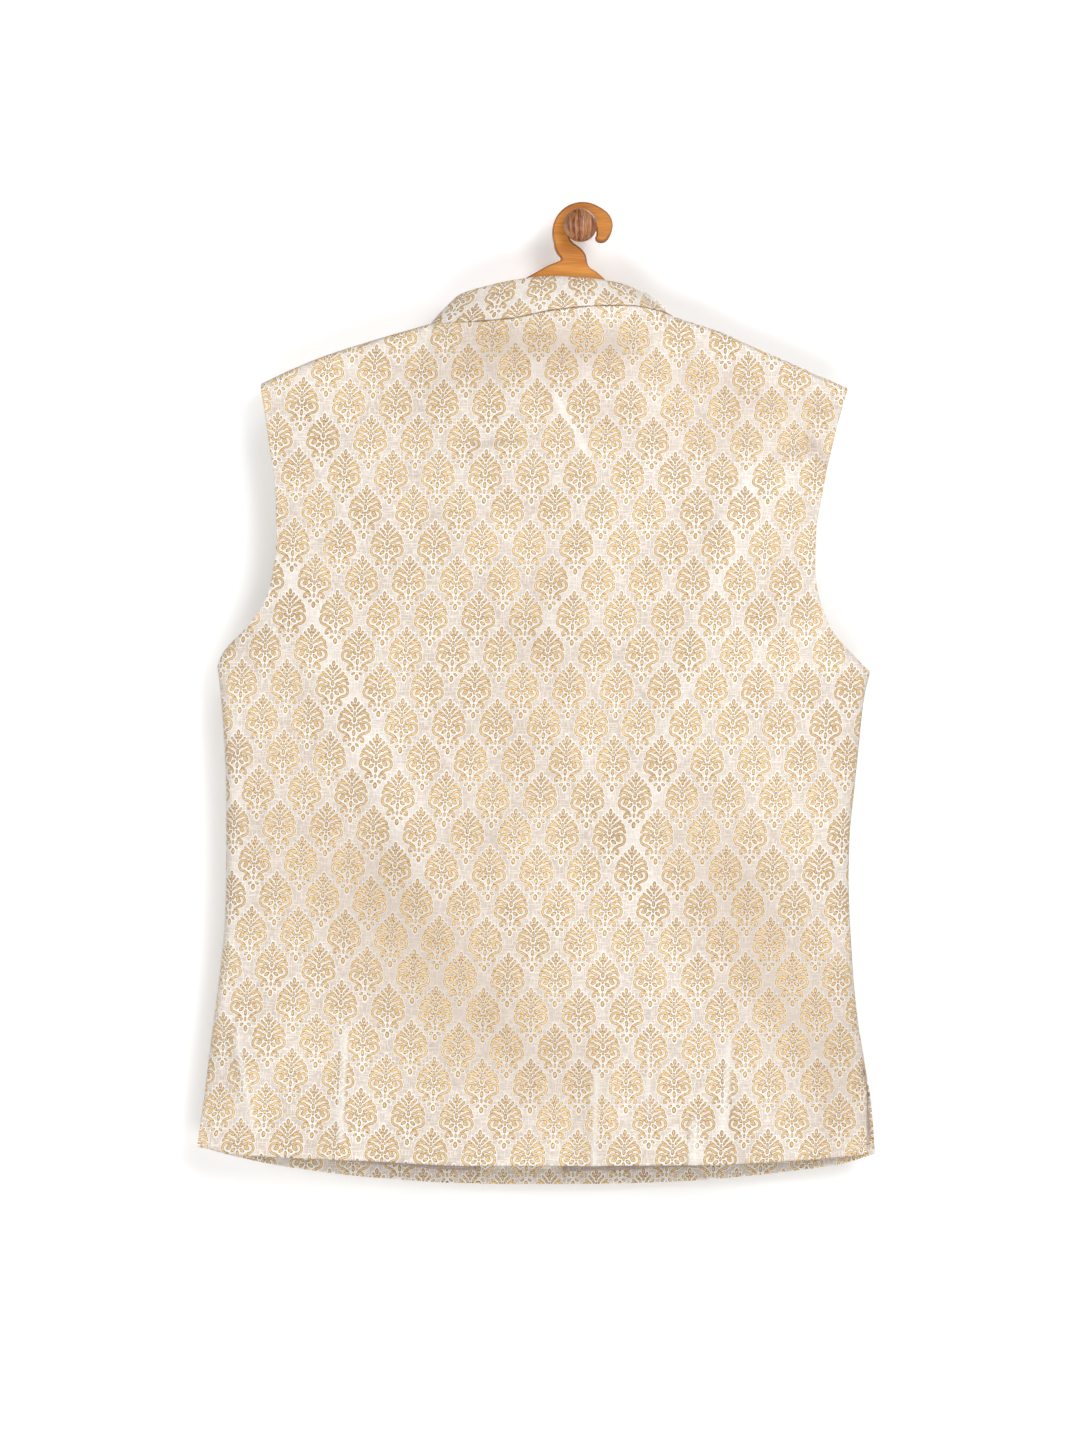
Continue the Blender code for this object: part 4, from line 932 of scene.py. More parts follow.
def back_depth(x, z, s):
    top_x, top_z = back_top(s)
    below = np.maximum(0, top_z - z)
    half = COLLAR_HALF_WIDTH * (1 + NECK_SPREAD * ease(below, 0, NECK_FALL))
    round_off = 0.5 + NECK_SOFTEN * ease(below, 0, NECK_FALL)
    off = (top_x - COLLAR_MID_X) / half
    ring = np.clip(1 - off**2, 0, 1) ** round_off * COLLAR_BACK_DEPTH
    start = np.hypot(ring + HALF_GAP, shoulder_arch(below, ring / COLLAR_BACK_DEPTH))
    left = left_edge(z)
    right = right_edge(z) - VENT_LAP * vent_share(z, RIGHT_SIDE[0]["z"])
    body = side_profile(x, z, left, right, BACK_DEPTH, VENT_OPEN)
    depth = start + (body - start) * ease(below, 0, SHOULDER_FALL)
    folds = fold_height(BACK_FOLDS, x, z) * fold_room(below, body)
    return depth + folds + fold_height(BACK_CREASES, x, z) * ease(below, CREASE_START, CREASE_WHOLE)


def front_depth(x, z, s, sign, top):
    _, top_z = top(s)
    below = np.maximum(0, top_z - z)
    share = s if sign < 0 else 1 - s
    spread_start = SHOULDER_SHARE - FRONT_SPREAD * ease(below, 0, NECK_FALL)
    around = np.clip((share - spread_start) / (NECK_SHARE - spread_start), 0, 1)
    round_off = FRONT_RING_CURVE + NECK_SOFTEN * ease(below, 0, NECK_FALL)
    ring = COLLAR_FRONT_DEPTH * np.sin(math.pi / 2 * around) ** round_off
    start = np.hypot(ring + HALF_GAP, shoulder_arch(below, ring / COLLAR_FRONT_DEPTH))
    body = side_profile(x, z, left_edge(z), right_edge(z), FRONT_DEPTH, VENT_OPEN)
    depth = start + (body - start) * ease(below, 0, SHOULDER_FALL)
    folds = fold_height(FRONT_FOLDS, x, z) + fold_height(FRONT_CREASES, x, z)
    depth = depth + folds * fold_room(below, body)
    if sign < 0:
        depth = depth + overlap_step(x, z)
    return depth


def back_surface(s, t):
    x, z = blend_patch(s, t, back_foot, back_top, LEFT_RUN, back_right)
    return np.stack([x, MID_Y - back_depth(x, z, s), z], -1)


def front_surface(sign):
    """Outer face of a front: sign is -1 for the wearer's left one, and 1 for the right one."""
    foot = front_foot(sign)
    top = front_top(LEFT_SHOULDER if sign < 0 else RIGHT_SHOULDER, sign)
    left = LEFT_RUN if sign < 0 else front_edge(sign)
    right = front_edge(sign) if sign < 0 else RIGHT_RUN

    def surface(s, t):
        x, z = blend_patch(s, t, foot, top, left, right)
        return np.stack([x, MID_Y + front_depth(x, z, s, sign, top), z], -1)
    return surface


def outward(surface, s, t, flip):
    """Unit normals of a surface, from small steps across and up."""
    step = 0.0006
    across = surface(np.minimum(1, s + step), t) - surface(np.maximum(0, s - step), t)
    up = surface(s, np.minimum(1, t + step)) - surface(s, np.maximum(0, t - step))
    return unit(np.cross(across, up)) * (-1 if flip else 1)


# %% [markdown]
# A cloth piece is two sheets of the same grid, the outer face and the inner face, joined round the rim
# by a narrow strip that bulges a little, as a turned edge does. The inner face is lining, apart from
# a band along the hem and the open edges, where the brocade is turned in.


# %% A cloth shell from a grid
SHARP_CLOTH = 65


def wall(name, outer, inner, place, inside, marks, edge_round=0.35):
    """Closed shell from two grids in millimetres. place is the cloth's own coordinates in metres,
    inside says which inner faces are lining, and marks are values that the brocade reads: painted shade
    in a seam, painted sheen and painted shade on the satin, and a painted highlight on a pressed
    crease."""
    rows, columns = outer.shape[:2]
    mesh = bpy.data.meshes.new(name)
    points = [outer.reshape(-1, 3), inner.reshape(-1, 3)]
    count = rows * columns
    index = np.arange(count).reshape(rows, columns)
    quads = np.stack([index[:-1, :-1], index[:-1, 1:], index[1:, 1:], index[1:, :-1]], -1)
    quads = quads.reshape(-1, 4)
    rim = np.concatenate([index[0, :], index[1:, -1], index[-1, -2::-1], index[-2:0:-1, 0]])
    row, col = np.divmod(rim, columns)
    next_row = np.clip(row, 1, rows - 2)
    next_col = np.clip(col, 1, columns - 2)
    middle = (outer[row, col] + inner[row, col]) / 2
    away = unit(middle - (outer[next_row, next_col] + inner[next_row, next_col]) / 2)
    thick = np.linalg.norm(outer[row, col] - inner[row, col], axis=-1, keepdims=True)
    points.append(middle + away * thick * edge_round)
    turn = np.roll(np.arange(len(rim)), -1)
    middle_index = 2 * count + np.arange(len(rim))
    strip_out = np.stack([rim, rim[turn], middle_index[turn], middle_index], -1)
    strip_in = np.stack([middle_index, middle_index[turn], rim[turn] + count, rim + count], -1)
    faces = np.concatenate([quads, quads[:, ::-1] + count, strip_out[:, ::-1], strip_in[:, ::-1]])
    mesh.from_pydata(np.concatenate(points) * MM, [], faces.tolist())
    flat = place.reshape(-1, 2)
    coordinates = np.concatenate([flat, flat, flat[rim]])
    layer = mesh.uv_layers.new(name="cloth")
    corner = np.empty(len(mesh.loops), int)
    mesh.loops.foreach_get("vertex_index", corner)
    layer.data.foreach_set("uv", coordinates[corner].ravel())
    for label, values in marks.items():
        layer = mesh.attributes.new(label, "FLOAT", "POINT")
        flat = values.reshape(-1)
        layer.data.foreach_set("value", np.concatenate([flat, flat, flat[rim]]).astype(np.float32))
    slots = np.zeros(len(faces), int)
    slots[len(quads):2 * len(quads)] = inside.reshape(-1)
    mesh.polygons.foreach_set("material_index", slots)
    mesh.materials.append(BROCADE)
    mesh.materials.append(LINING)
    mesh.update()
    thing = bpy.data.objects.new(name, mesh)
    bpy.context.scene.collection.objects.link(thing)
    shape = bmesh.new()
    shape.from_mesh(mesh)
    if shape.calc_volume(signed=True) < 0:
        bmesh.ops.reverse_faces(shape, faces=shape.faces)
    shape.to_mesh(mesh)
    shape.free()
    mesh.shade_smooth()
    mesh.set_sharp_from_angle(angle=math.radians(SHARP_CLOTH))
    print(name, "triangles", 4 * len(quads) + 4 * len(rim))
    return thing


def cloth_coordinates(points, zero_column, grain_skew, shift):
    """Cloth coordinates in metres: distance across over the folds from a column, and the height."""
    across = np.linalg.norm(np.diff(points[..., :2], axis=1), axis=-1)
    u = np.concatenate([np.zeros((points.shape[0], 1)), np.cumsum(across, axis=1)], 1)
    u = u - u[:, zero_column:zero_column + 1] + points[:, zero_column:zero_column + 1, 0]
    v = points[..., 2]
    u = u - grain_skew * v
    return np.stack([u + shift[0], v + shift[1]], -1) * MM


def spaced(stops):
    """Shares along an edge: each stop is a share, and the number of steps that lead up to it."""
    shares = [0.0]
    for stop, steps in stops:
        start = shares[-1]
        shares += [start + (stop - start) * (i + 1) / steps for i in range(steps)]
    return np.array(shares)


# %% [markdown]
# The back is one piece without a centre seam. Its pattern stands upright, but the cloth hangs slightly
# off its grain, so the columns of motifs drift to the left on their way down. The grid is denser near
# the seams and over the shoulders, where the cloth turns.

# %% The back
UP = spaced([(0.0015, 1), (0.018, 5), (0.14, 28), (0.55, 54), (UNDERARM, 10), (0.68, 12), (0.9, 38),
             (0.965, 14), (0.985, 8), (0.9935, 6), (1, 12)])
ACROSS_BACK = spaced([(0.003, 3), (0.014, 5), (0.045, 6), (NECK_START, 52), (NECK_END, 96),
                      (0.955, 52), (0.986, 6), (0.997, 5), (1, 3)])
GRAIN_SKEW = 0.05
BACK_PHASE = (56.1 + GRAIN_SKEW * -217.7, 220.2)
GRAIN_X = -20
HEM_PULL_X = -190
HEM_PULL = 0.028
WAIST_DROP = 5.4
SHOULDER_DROP = 5
SIDE_LIFT = 2.5


def hang_drift(x, z):
    """How far the weight has pulled the pattern aside and down from its even repeat."""
    aside = HEM_PULL * (x - HEM_PULL_X) * ease(z, -560, -690)
    down = WAIST_DROP * ease(z, -290, -540) * ease(x, -215, -60)
    down = down + SHOULDER_DROP * ease(x, -20, 140) * ease(z, -230, -120)
    down = down - SIDE_LIFT * (1 - ease(x, -230, -150))
    return aside, down


SEAM_WIDTH = 0.75
SEAM_DEPTH = 0.2
CREASE_FULL = 1.5
CREASE_BROAD = 5.5
CREASE_SHADE = 0.3
CREASE_PAINTED_SHEEN = 0.8
VENT_TOP = -650
VENT_SHADE_WIDE = 3
VENT_SHADE_HIGH = 4


def cloth_marks(seam, x, z, sheen, creases):
    """The values that the brocade reads: painted shade in seams and crease troughs, painted sheen, and
    a painted highlight along the ridges of the narrow pressed creases.
    """
    pressed = [row for row in creases if row["width"] < CREASE_BROAD]
    crease = fold_height(pressed, x, z) / CREASE_FULL
    shine = fold_height(sheen, x, z) + CREASE_PAINTED_SHEEN * np.clip(crease, 0, 1)
    return {"seam_shade": np.maximum(seam, CREASE_SHADE * np.clip(-crease, 0, 1)),
            "painted_sheen": np.clip(shine, 0, 1),
            "painted_crease_highlight": ease(crease, 0.5, 1.2)}


def panel(name, surface, across, flip, held, lined, neck, sheen, creases, skew, shift):
    """A panel's shell. The outer face is the surface itself, and the inner one lies a wall's
    thickness inside it, turned flat where the seams hold it."""
    s, t = np.meshgrid(across, UP)
    outer = surface(s, t)
    normal = outward(surface, s, t, flip)
    below = outer[-1:, :, 2] - outer[..., 2]
    # Along the neck seam the cloth dips into a shallow groove and also carries painted shade
    seam = np.clip(1 - below / SEAM_WIDTH, 0, 1) * neck(s)
    outer = outer - normal * (SEAM_DEPTH * seam**2)[..., None]
    normal[..., 1] *= 1 - held(s, t)
    normal = unit(normal)
    height = outer[..., 2] - outer[0:1, :, 2]
    thick = CLOTH + (TURNED - CLOTH) * (1 - ease(height, TURN_UP - 0.8, TURN_UP + 0.4))
    inner = outer - normal * thick[..., None]
    middle = np.abs(outer[0, :, 0] - GRAIN_X).argmin()
    place = cloth_coordinates(outer, middle, skew, shift)
    x, z = outer[..., 0], outer[..., 2]
    if name == "back_cloth":
        aside, down = hang_drift(x, z)
        place = place + np.stack([-aside, down], -1) * MM
        # Painted shade: a dark spot at the top of the right vent, where the slit opens
        from_edge = (outer[:, -1:, 0] - x) / VENT_SHADE_WIDE
        from_top = (z - VENT_TOP) / VENT_SHADE_HIGH
        seam = np.maximum(seam, np.exp(-(from_edge**2) - from_top**2))
    marks = cloth_marks(seam, x, z, sheen, creases)
    if name == "back_cloth":
        # Painted shade on the back: zones where the satin is painted greyer
        marks["painted_shade"] = np.clip(fold_height(BACK_PAINTED_SHADE, x, z), 0, 1)
    return wall(name, outer, inner, place, lined(s, t, height)[:-1, :-1], marks)


def back_neck(s):
    """1 along the neck seam, and fading out where the seam turns to the front."""
    return ease(s, NECK_START + 0.05, NECK_START + 0.14) * (1 - ease(s, NECK_END - 0.01, NECK_END))


def no_seam(s):
    return np.zeros_like(s)


AT_EDGE = 1e-6
SEAM_END = UNDERARM + 0.06
ARMHOLE_START = UNDERARM + 0.01
VENT_END = 0.13
TURNED_BACK = 0.013


def back_held(s, t):
    at_side = ((s < AT_EDGE) | (s > 1 - AT_EDGE)) * (1 - ease(t, UNDERARM, SEAM_END))
    at_top = (t > 1 - AT_EDGE) * ((s <= NECK_START) | (s >= NECK_END))
    return np.maximum(at_side, at_top)


def back_lined(s, t, height):
    """Lining above the turn-up and inside the turned-in armhole and vent edges."""
    from_edge = np.minimum(s, 1 - s)
    free = (t > ARMHOLE_START) | (t < VENT_END)
    return (height > TURN_UP) & ~((from_edge < TURNED_BACK) & free)


back = panel("back_cloth", back_surface, ACROSS_BACK, False, back_held, back_lined, back_neck,
             BACK_SHEEN, BACK_CREASES, GRAIN_SKEW, BACK_PHASE)
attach(back, "root")
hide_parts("back")

# %% [markdown]
# The two fronts face the wall. The wearer's left one lies over the right one and carries the buttons.
# Under the back's hem their inside shows: the turned-up brocade, the lining above it, and the facing
# of the lower front.

# %% The fronts
ACROSS_LEFT = spaced([(0.006, 4), (0.028, 5), (0.09, 7), (SHOULDER_SHARE, 30), (NECK_SHARE, 34),
                      (1, 10)])
FACING_SHARE = 0.21
TURNED_FRONT = 0.02
TURNED_VENT = 0.008
FRONT_SKEW = 0.02
FRONT_SHIFT_X = 9.0
FRONT_SHIFT_Z = 205.0


def front_held(sign):
    def share(s, t):
        from_side = s if sign < 0 else 1 - s
        at_side = (from_side < AT_EDGE) * (1 - ease(t, UNDERARM, SEAM_END))
        at_top = (t > 1 - AT_EDGE) * (from_side <= SHOULDER_SHARE)
        return np.maximum(at_side, at_top)
    return share


def front_lined(sign):
    def share(s, t, height):
        from_side = s if sign < 0 else 1 - s
        free = (t > ARMHOLE_START) | (t < VENT_END)
        facing = 1 - from_side < FACING_SHARE
        turned = np.where((t < VENT_END) & (sign > 0), TURNED_VENT, TURNED_FRONT)
        return (height > TURN_UP) & ~((from_side < turned) & free) & ~facing
    return share


def make_front(sign, name, node):
    across = ACROSS_LEFT if sign < 0 else 1 - ACROSS_LEFT[::-1]
    shift = (sign * FRONT_SHIFT_X, FRONT_SHIFT_Z)
    front = panel(name, front_surface(sign), across, True, front_held(sign), front_lined(sign),
                  no_seam, FRONT_SHEEN, FRONT_CREASES, FRONT_SKEW * sign, shift)
    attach(front, "root")
    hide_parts(node)


make_front(-1, "front_left_cloth", "front_left")
make_front(1, "front_right_cloth", "front_right")

# %% [markdown]
# The collar is a stiffened band that leans in towards the neck. Its own grain follows the band, so the
# motifs march along it. At the back it shows less than its height, because it leans away from the eye.


# %% The collar
def collar_point(turn, level):
    """A point on the collar's outer face. turn runs once around from the left end of the centre
    front, over the back, to its right end; level is 0 at the seam and 1 at the top edge."""
    quarter = math.pi / 2
    at_front = (turn < quarter) | (turn > 3 * quarter)
    around_back = np.clip(turn - quarter, 0, math.pi)
    left_front = np.clip(quarter - turn, 0, quarter)
    right_front = math.pi - np.clip(turn - 3 * quarter, 0, quarter)
    around_front = np.where(turn < quarter, left_front, right_front)
    back_seam = neck_ring(around_back, False)
    front_seam = neck_ring(around_front, True)
    seam = [np.where(at_front, front_seam[axis], back_seam[axis]) for axis in range(3)]
    angle = np.where(at_front, around_front, around_back)
    top_x = COLLAR_TOP_CENTRE_X - COLLAR_TOP_HALF_WIDTH * np.cos(angle)
    top_back_y = MID_Y - COLLAR_TOP_BACK_DEPTH * np.sin(angle)
    lap = np.where(turn < quarter, overlap_step(front_seam[0], front_seam[2]), 0)
    top_front_y = MID_Y + COLLAR_TOP_FRONT_DEPTH * np.abs(np.sin(angle)) ** FRONT_RING_CURVE + lap
    top_y = np.where(at_front, top_front_y, top_back_y)
    back_z = smooth_through(COLLAR_TOP, "turn", "z", np.degrees(around_back))
    side_z = np.where(turn < quarter, COLLAR_TOP[0]["z"], COLLAR_TOP[-1]["z"])
    front_z = side_z + (COLLAR_TOP_FRONT_Z - side_z) * np.abs(np.sin(angle)) ** COLLAR_TOP_CURVE
    top_z = np.where(at_front, front_z, back_z)
    bulge = COLLAR_BULGE * 4 * level * (1 - level)
    out_x = -np.cos(angle) * 0.8
    out_y = np.where(at_front, 1, -1) * np.sin(angle)
    x = seam[0] + (top_x - seam[0]) * level + out_x * bulge
    y = seam[1] + (top_y - seam[1]) * level + out_y * bulge
    z = seam[2] + (top_z - seam[2]) * level
    return np.stack([x, y, z], -1)


def neck_flat(turn):
    """Outward direction that lies in the plane of the neck seam's end faces."""
    step = 0.002
    level = np.zeros_like(turn)
    along = unit(collar_point(turn + step, level) - collar_point(turn - step, level))
    upright = np.stack([NECK_LEAN * np.sin(turn) ** 3, level, level + 1], -1)
    upright = unit(upright - (upright * along).sum(-1, keepdims=True) * along)
    return unit(np.cross(along, upright))


COLLAR_ALONG = 260
COLLAR_UP = 14
COLLAR_PHASE = (9.0, -23.0)
COLLAR_PAINTED_SHEEN = 0.8
HELD_LEVEL = 0.2


def make_collar():
    start = COLLAR_END_GAP / COLLAR_HALF_WIDTH
    corner = start + COLLAR_CORNER / COLLAR_HALF_WIDTH
    first = start + (corner - start) * (1 - np.cos(np.linspace(0, math.pi / 2, 12)))
    rest = np.linspace(corner, 2 * math.pi - corner, COLLAR_ALONG)[1:-1]
    turns = np.concatenate([first, rest, 2 * math.pi - first[::-1]])
    levels = np.concatenate([[0, 0.018, 0.036, 0.06], np.linspace(0.1, 1, COLLAR_UP - 3)])
    turn, level = np.meshgrid(turns, levels)
    from_end = np.minimum(turn - start, 2 * math.pi - start - turn) * COLLAR_HALF_WIDTH
    inside = np.clip(from_end / COLLAR_CORNER, 0, 1)
    whole = collar_point(turn, level * 0 + 1) - collar_point(turn, level * 0)
    height = np.linalg.norm(whole, axis=-1)
    lost = COLLAR_CORNER * (1 - np.sqrt(1 - (1 - inside) ** 2)) / height
    low = COLLAR_LIFT / height
    reach = low + (1 - lost - low) * level
    outer = collar_point(turn, reach)
    step = 0.002
    along = unit(collar_point(turn + step, reach) - collar_point(turn - step, reach))
    rise = unit(collar_point(turn, reach + 0.01) - collar_point(turn, reach - 0.01))
    hold = np.clip(1 - level / HELD_LEVEL, 0, 1)[..., None]
    normal = unit(unit(np.cross(along, rise)) * (1 - hold) + neck_flat(turn) * hold)
    inner = outer - normal * COLLAR_WALL
    around = np.clip((turn - math.pi / 2) / math.pi, 0, 1)
    at_back = ease(around, 0.12, 0.34) * (1 - ease(around, 0.97, 1))
    shade = np.clip(1 - (reach * height - COLLAR_LIFT) / SEAM_WIDTH, 0, 1) * at_back
    outer = outer - normal * (SEAM_DEPTH * shade**2)[..., None]
    # The collar carries a painted sheen all over, which paints it paler, and painted shade along its
    # seam at the back
    marks = {"seam_shade": shade, "painted_sheen": np.full_like(shade, COLLAR_PAINTED_SHEEN)}
    foot = collar_point(turns, np.zeros_like(turns))
    run = np.concatenate([[0], np.cumsum(np.linalg.norm(np.diff(foot, axis=0), axis=-1))])
    middle = np.abs(turns - math.pi).argmin()
    u = (run - run[middle])[None, :] + 0 * turn
    place = np.stack([u + COLLAR_PHASE[0], reach * height + COLLAR_PHASE[1]], -1) * MM
    lined = np.zeros((COLLAR_UP, len(turns) - 1), int)
    collar = wall("collar_band", outer, inner, place, lined, marks, 0.4)
    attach(collar, "root")
    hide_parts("collar")


make_collar()

# %% [markdown]
# The lining is cut a little long, so above the turned-up hem it sags in a soft fold. The facing is a
# strip of the brocade that runs up the lower front's edge. Both are made from the front's own points,
# moved in, and only as high as they show.

# %% Lining and facing at the hem
LINING_THICK = 1.0
SEAM_GAP = 0.3
LINED_HEIGHT = 92.0
LINING_INSET = 3.2
FACING_WIDTH = 65.0
LINING_ROWS = 36
SAG_SHARE = 0.12


def inner_layer(name, node, sign, start, end, steps, lined, sag):
    """A strip inside a front, between two shares of its width; sag is its soft fold in millimetres."""
    surface = front_surface(sign)
    heights = np.linspace(TURN_UP, LINED_HEIGHT, LINING_ROWS) / (CENTRE_TOP_Z - CENTRE_FOOT_Z)
    s, t = np.meshgrid(np.linspace(start, end, steps), heights)
    base = surface(s, t)
    normal = outward(surface, s, t, True)
    up = (t - heights[0]) / (heights[-1] - heights[0])
    uneven = 1 + 0.35 * np.sin(s * 61) * np.sin(s * 23 + 1)
    ripple = sag * np.exp(-((up / SAG_SHARE) ** 2)) * uneven
    near = base - normal * (TURNED + SEAM_GAP + ripple[..., None] * 0.6)
    far = near - normal * (LINING_THICK + ripple[..., None] * 0.2)
    near[..., 2] -= ripple * 0.8
    far[..., 2] -= ripple * 1.1
    place = cloth_coordinates(base, 0, FRONT_SKEW * sign, (sign * FRONT_SHIFT_X, FRONT_SHIFT_Z))
    inside = np.full((len(heights) - 1, steps - 1), int(lined))
    thing = wall(name, near, far, place, inside, {"painted_sheen": np.zeros_like(s)}, 0.3)
    if lined:
        thing.data.polygons.foreach_set("material_index", np.ones(len(thing.data.polygons), int))
    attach(thing, "root")
    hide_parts(node)


FOOT_X = CENTRE_FOOT_X - BUTTON_STAND
RIGHT_WIDTH = RIGHT_SIDE[0]["x"] - FOOT_X
LEFT_WIDTH = CENTRE_FOOT_X + BUTTON_STAND - LEFT_SIDE[0]["x"]
FACING_END = FACING_WIDTH / RIGHT_WIDTH
RIGHT_START = FACING_END + SEAM_GAP / RIGHT_WIDTH
RIGHT_END = 1 - LINING_INSET / RIGHT_WIDTH
LEFT_START = LINING_INSET / LEFT_WIDTH
LEFT_END = (FOOT_X - 3 - LEFT_SIDE[0]["x"]) / LEFT_WIDTH
inner_layer("facing_strip", "front_facing", 1, 0.001, FACING_END, 30, False,
            0.2)
inner_layer("lining_right_strip", "front_lining_right", 1, RIGHT_START, RIGHT_END, 90, True,
            1.6)
inner_layer("lining_left_strip", "front_lining_left", -1, LEFT_START, LEFT_END, 84, True,
            1.6)

# %% [markdown]
# The hanger keeps the frame's outline exactly. A copy of the node is merged into one skin, its front
# and back stay the pale face of the board, and everything between takes the darker sawn edge.


# %% The hanger
FLAT_ANGLE = 0.5
SHARP_BOARD = 30


def copy_of_node(node, name):
    """A node's mesh as a new object with its doubled points merged."""
    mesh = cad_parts[node].data.copy()
    mesh.materials.clear()
    shape = bmesh.new()
    shape.from_mesh(mesh)
    bmesh.ops.remove_doubles(shape, verts=shape.verts, dist=0.01 * MM)
    bmesh.ops.dissolve_limit(shape, angle_limit=math.radians(FLAT_ANGLE), verts=shape.verts,
                             edges=shape.edges)
    shape.to_mesh(mesh)
    shape.free()
    mesh.name = name
    thing = bpy.data.objects.new(name, mesh)
    bpy.context.scene.collection.objects.link(thing)
    return thing


hanger = copy_of_node("hanger", "hanger_board")
hanger.data.materials.append(BOARD_FACE)
hanger.data.materials.append(BOARD_EDGE)
for face in hanger.data.polygons:
    face.material_index = 0 if abs(face.normal.y) > 0.95 else 1
hanger.data.shade_smooth()
hanger.data.set_sharp_from_angle(angle=math.radians(SHARP_BOARD))
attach(hanger, "root")
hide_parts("hanger")
print("hanger faces", len(hanger.data.polygons))

# %% [markdown]
# The peg is a lathe's work, so it is made like one: a disc is extruded along the axis, and each new
# end is scaled to the next radius, ring after ring, round the ball.


# %% The peg
PEG_SIDES = 64
PEG_RINGS = 26
SHARP_TURNED = 38


def turned_piece(name, profile, sides, centre=(0, 0, 0)):
    """A lathe: rows are (y, radius) in millimetres, and the axis lies along Y."""
    start_y, start_radius = profile[0]
    x, y, z = centre
    bpy.ops.mesh.primitive_circle_add(vertices=sides, radius=start_radius * MM, fill_type="NGON",
                                      location=(x * MM, (y + start_y) * MM, z * MM),
                                      rotation=(math.radians(90), 0, 0))
    thing = bpy.context.object
    thing.name = name
    bpy.ops.object.transform_apply(location=True, rotation=True, scale=True)
    bpy.ops.object.mode_set(mode="EDIT")
    bpy.ops.mesh.select_all(action="SELECT")
    radius = start_radius
    place = start_y
    for next_y, next_radius in profile[1:]:
        along = (0, (next_y - place) * MM, 0)
        bpy.ops.mesh.extrude_region_move(TRANSFORM_OT_translate={"value": along})
        factor = next_radius / radius
        bpy.ops.transform.resize(value=(factor, 1, factor))
        radius = next_radius
        place = next_y
    bpy.ops.mesh.select_all(action="SELECT")
    bpy.ops.mesh.normals_make_consistent(inside=False)
    bpy.ops.object.mode_set(mode="OBJECT")
    bpy.ops.object.shade_smooth_by_angle(angle=math.radians(SHARP_TURNED))
    bpy.ops.object.select_all(action="DESELECT")
    thing.data.name = name
    return thing


def peg_profile():
    neck = math.asin(SHANK_RADIUS / BALL_RADIUS)
    rows = [(0, SHANK_RADIUS), (BALL_Y / 4, SHANK_RADIUS), (BALL_Y / 2, SHANK_RADIUS)]
    for ring in range(PEG_RINGS):
        angle = neck + (math.pi - neck) * ring / PEG_RINGS
        rows.append((BALL_Y + BALL_RADIUS * math.cos(angle), BALL_RADIUS * math.sin(angle)))
    return rows


peg = turned_piece("peg_turned", peg_profile(), PEG_SIDES)
peg.data.materials.append(PEG_WOOD)
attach(peg, "root")
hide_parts("wall_peg")
print("peg faces", len(peg.data.polygons))

# %% [markdown]
# The buttons sit on the hidden front. Each is a shallow cast dome with a raised rim and a groove, and
# all five come from the same profile.

# %% The buttons
BUTTON_COUNT = 5
BUTTON_SIDES = 40


def button_profile(radius, thick):
    return [(0, radius * 0.5), (thick * 0.2, radius * 0.9), (thick * 0.34, radius * 0.98),
            (thick * 0.5, radius), (thick * 0.66, radius * 0.97), (thick * 0.74, radius * 0.9),
            (thick * 0.66, radius * 0.84), (thick * 0.7, radius * 0.78), (thick * 0.84, radius * 0.6),
            (thick * 0.94, radius * 0.38), (thick * 0.99, radius * 0.16), (thick, radius * 0.03)]


for number in range(1, BUTTON_COUNT + 1):
    low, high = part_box("button_%d" % number)
    size = (high[0] - low[0]) / 2 / MM
    centre = ((low[0] + high[0]) / 2 / MM, low[1] / MM, (low[2] + high[2]) / 2 / MM)
    profile = button_profile(size, (high[1] - low[1]) / MM)
    button = turned_piece("button_dome_%d" % number, profile, BUTTON_SIDES, centre)
    button.data.materials.append(BUTTON_METAL)
    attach(button, "root")
    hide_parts("button_%d" % number)
print("buttons", BUTTON_COUNT, "radius", round(size, 2), "mm")

# %% [markdown]
# The stage is a white wall behind the peg and a pale floor far below. The wall only shows from its own
# side, so that the fronts can be seen from behind it. The main soft light stands in front, high on the
# right, as the shadow on the wall falls to the left and down. One above it lights the collar, and
# weaker ones fill the other sides.


# %% The stage
FLOOR_Z = -1.9
BACKDROP_Y = 0.0006
BACKDROP_GLOW = 0.13
WORLD_LIGHT = 0.24


def stage_sheet(name, size, location, rotation, color):
    bpy.ops.mesh.primitive_plane_add(size=1, location=location, rotation=rotation)
    sheet = bpy.context.object
    sheet.name = name
    sheet.scale = (size[0], size[1], 1)
    bpy.ops.object.transform_apply(location=True, rotation=True, scale=True)
    bpy.ops.object.select_all(action="DESELECT")
    made, tree, shader = new_material(name, 0.9)
    shader.inputs["Base Color"].default_value = color
    shader.inputs["Specular IOR Level"].default_value = 0.1
    sheet.data.materials.append(made)
    return sheet, tree, shader


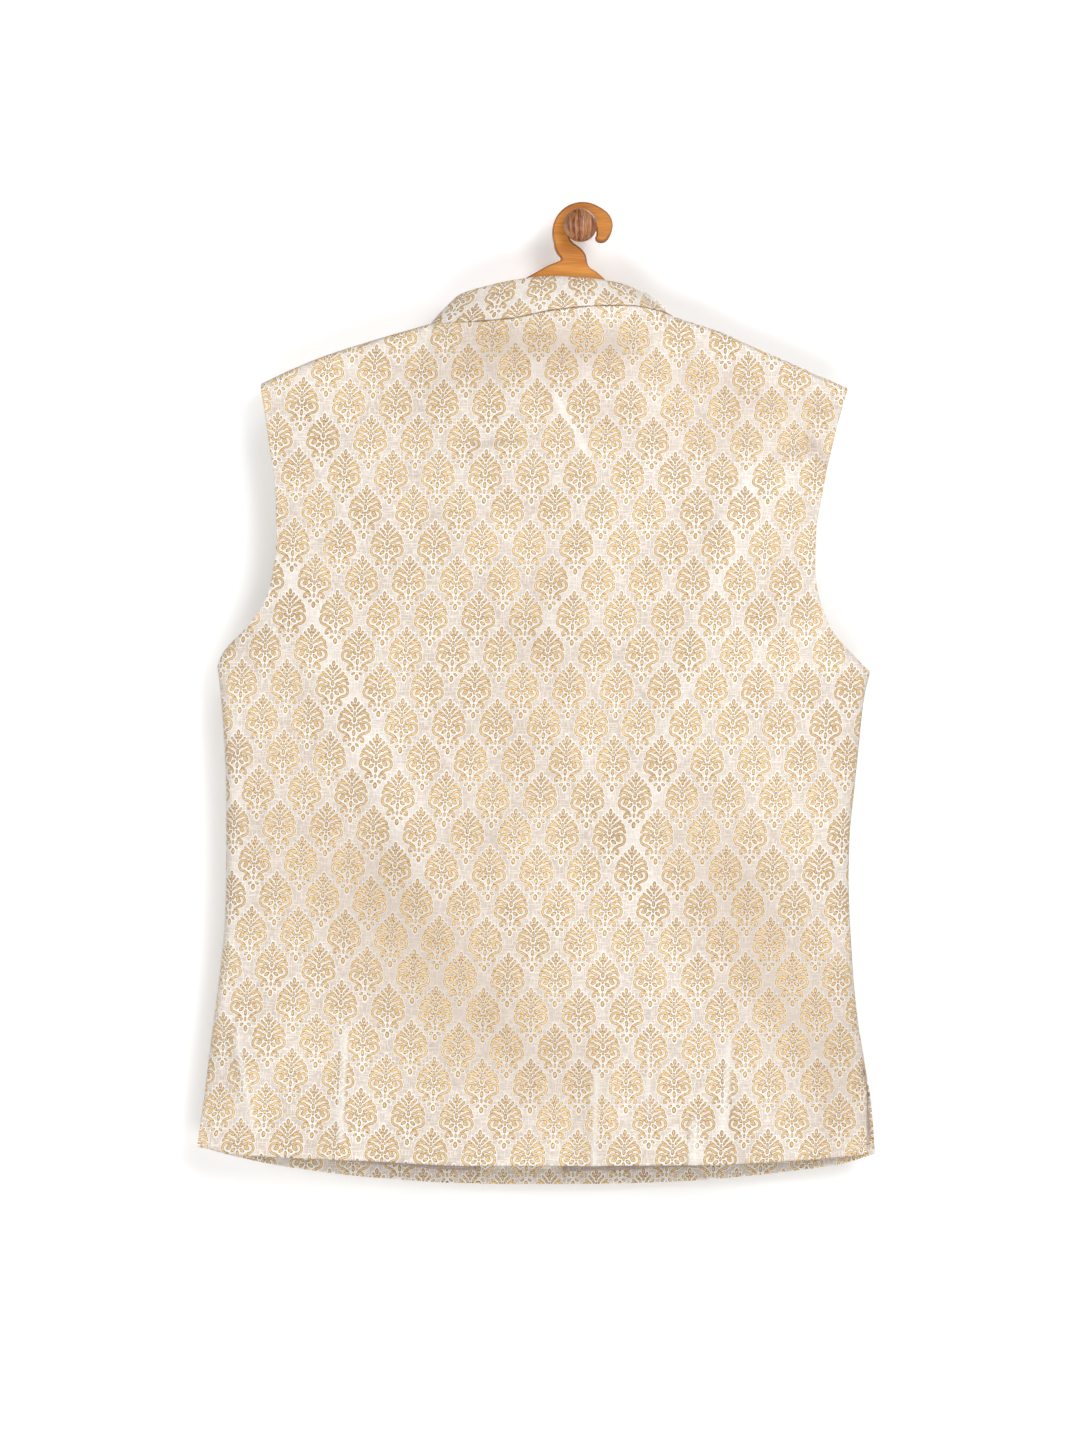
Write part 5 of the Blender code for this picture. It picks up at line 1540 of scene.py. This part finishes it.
stage_sheet("floor", (12, 12), (0, 0, FLOOR_Z), (0, 0, 0), paint(240, 239, 236))
backdrop, tree, shader = stage_sheet("backdrop", (9, 7), (0, BACKDROP_Y, 1.2),
                                     (math.radians(90), 0, 0), paint(253, 253, 253))
shader.inputs["Emission Color"].default_value = (1, 1, 1, 1)
shader.inputs["Emission Strength"].default_value = BACKDROP_GLOW
side_seen = tree.nodes.new("ShaderNodeNewGeometry")
clear = tree.nodes.new("ShaderNodeBsdfTransparent")
either = tree.nodes.new("ShaderNodeMixShader")
tree.links.new(side_seen.outputs["Backfacing"], either.inputs[0])
tree.links.new(shader.outputs[0], either.inputs[1])
tree.links.new(clear.outputs[0], either.inputs[2])
tree.links.new(either.outputs[0], tree.nodes["Material Output"].inputs["Surface"])
backdrop.visible_diffuse = False
backdrop.visible_glossy = False
backdrop.visible_shadow = False


# %% The light
def area_light(name, location, size, power):
    """A soft light that looks at the middle of the jacket."""
    data = bpy.data.lights.new(name, "AREA")
    data.shape = "RECTANGLE"
    data.size = size[0]
    data.size_y = size[1]
    data.energy = power
    light = bpy.data.objects.new(name, data)
    light.location = location
    toward = [b - a for a, b in zip(location, AIM)]
    flat = math.hypot(toward[0], toward[1])
    light.rotation_euler = (math.atan2(flat, -toward[2]), 0, math.atan2(-toward[0], toward[1]))
    bpy.context.scene.collection.objects.link(light)


AIM = (0, -0.04, -0.38)
area_light("key", (1.15, -2.9, 0.6), (1.0, 1.0), 29)
area_light("above", (0.5, -1.9, 1.6), (1.0, 1.0), 15)
area_light("side_right", (2.6, -1.0, 0.7), (0.8, 1.2), 14)
area_light("fill_left", (-2.5, -2.2, -0.2), (1.6, 1.0), 28)
area_light("low_front", (0.3, -2.9, -1.6), (1.6, 0.8), 24)
area_light("behind_high", (1.2, 2.4, 1.2), (1.6, 1.6), 24)
area_light("behind_low", (-1.8, 2.0, -0.4), (1.6, 1.6), 12)
world = bpy.data.worlds.new("world")
bpy.context.scene.world = world
world.use_nodes = True
world.node_tree.nodes["Background"].inputs["Color"].default_value = (1, 1, 1, 1)
world.node_tree.nodes["Background"].inputs["Strength"].default_value = WORLD_LIGHT
print("lights", len(bpy.data.lights))
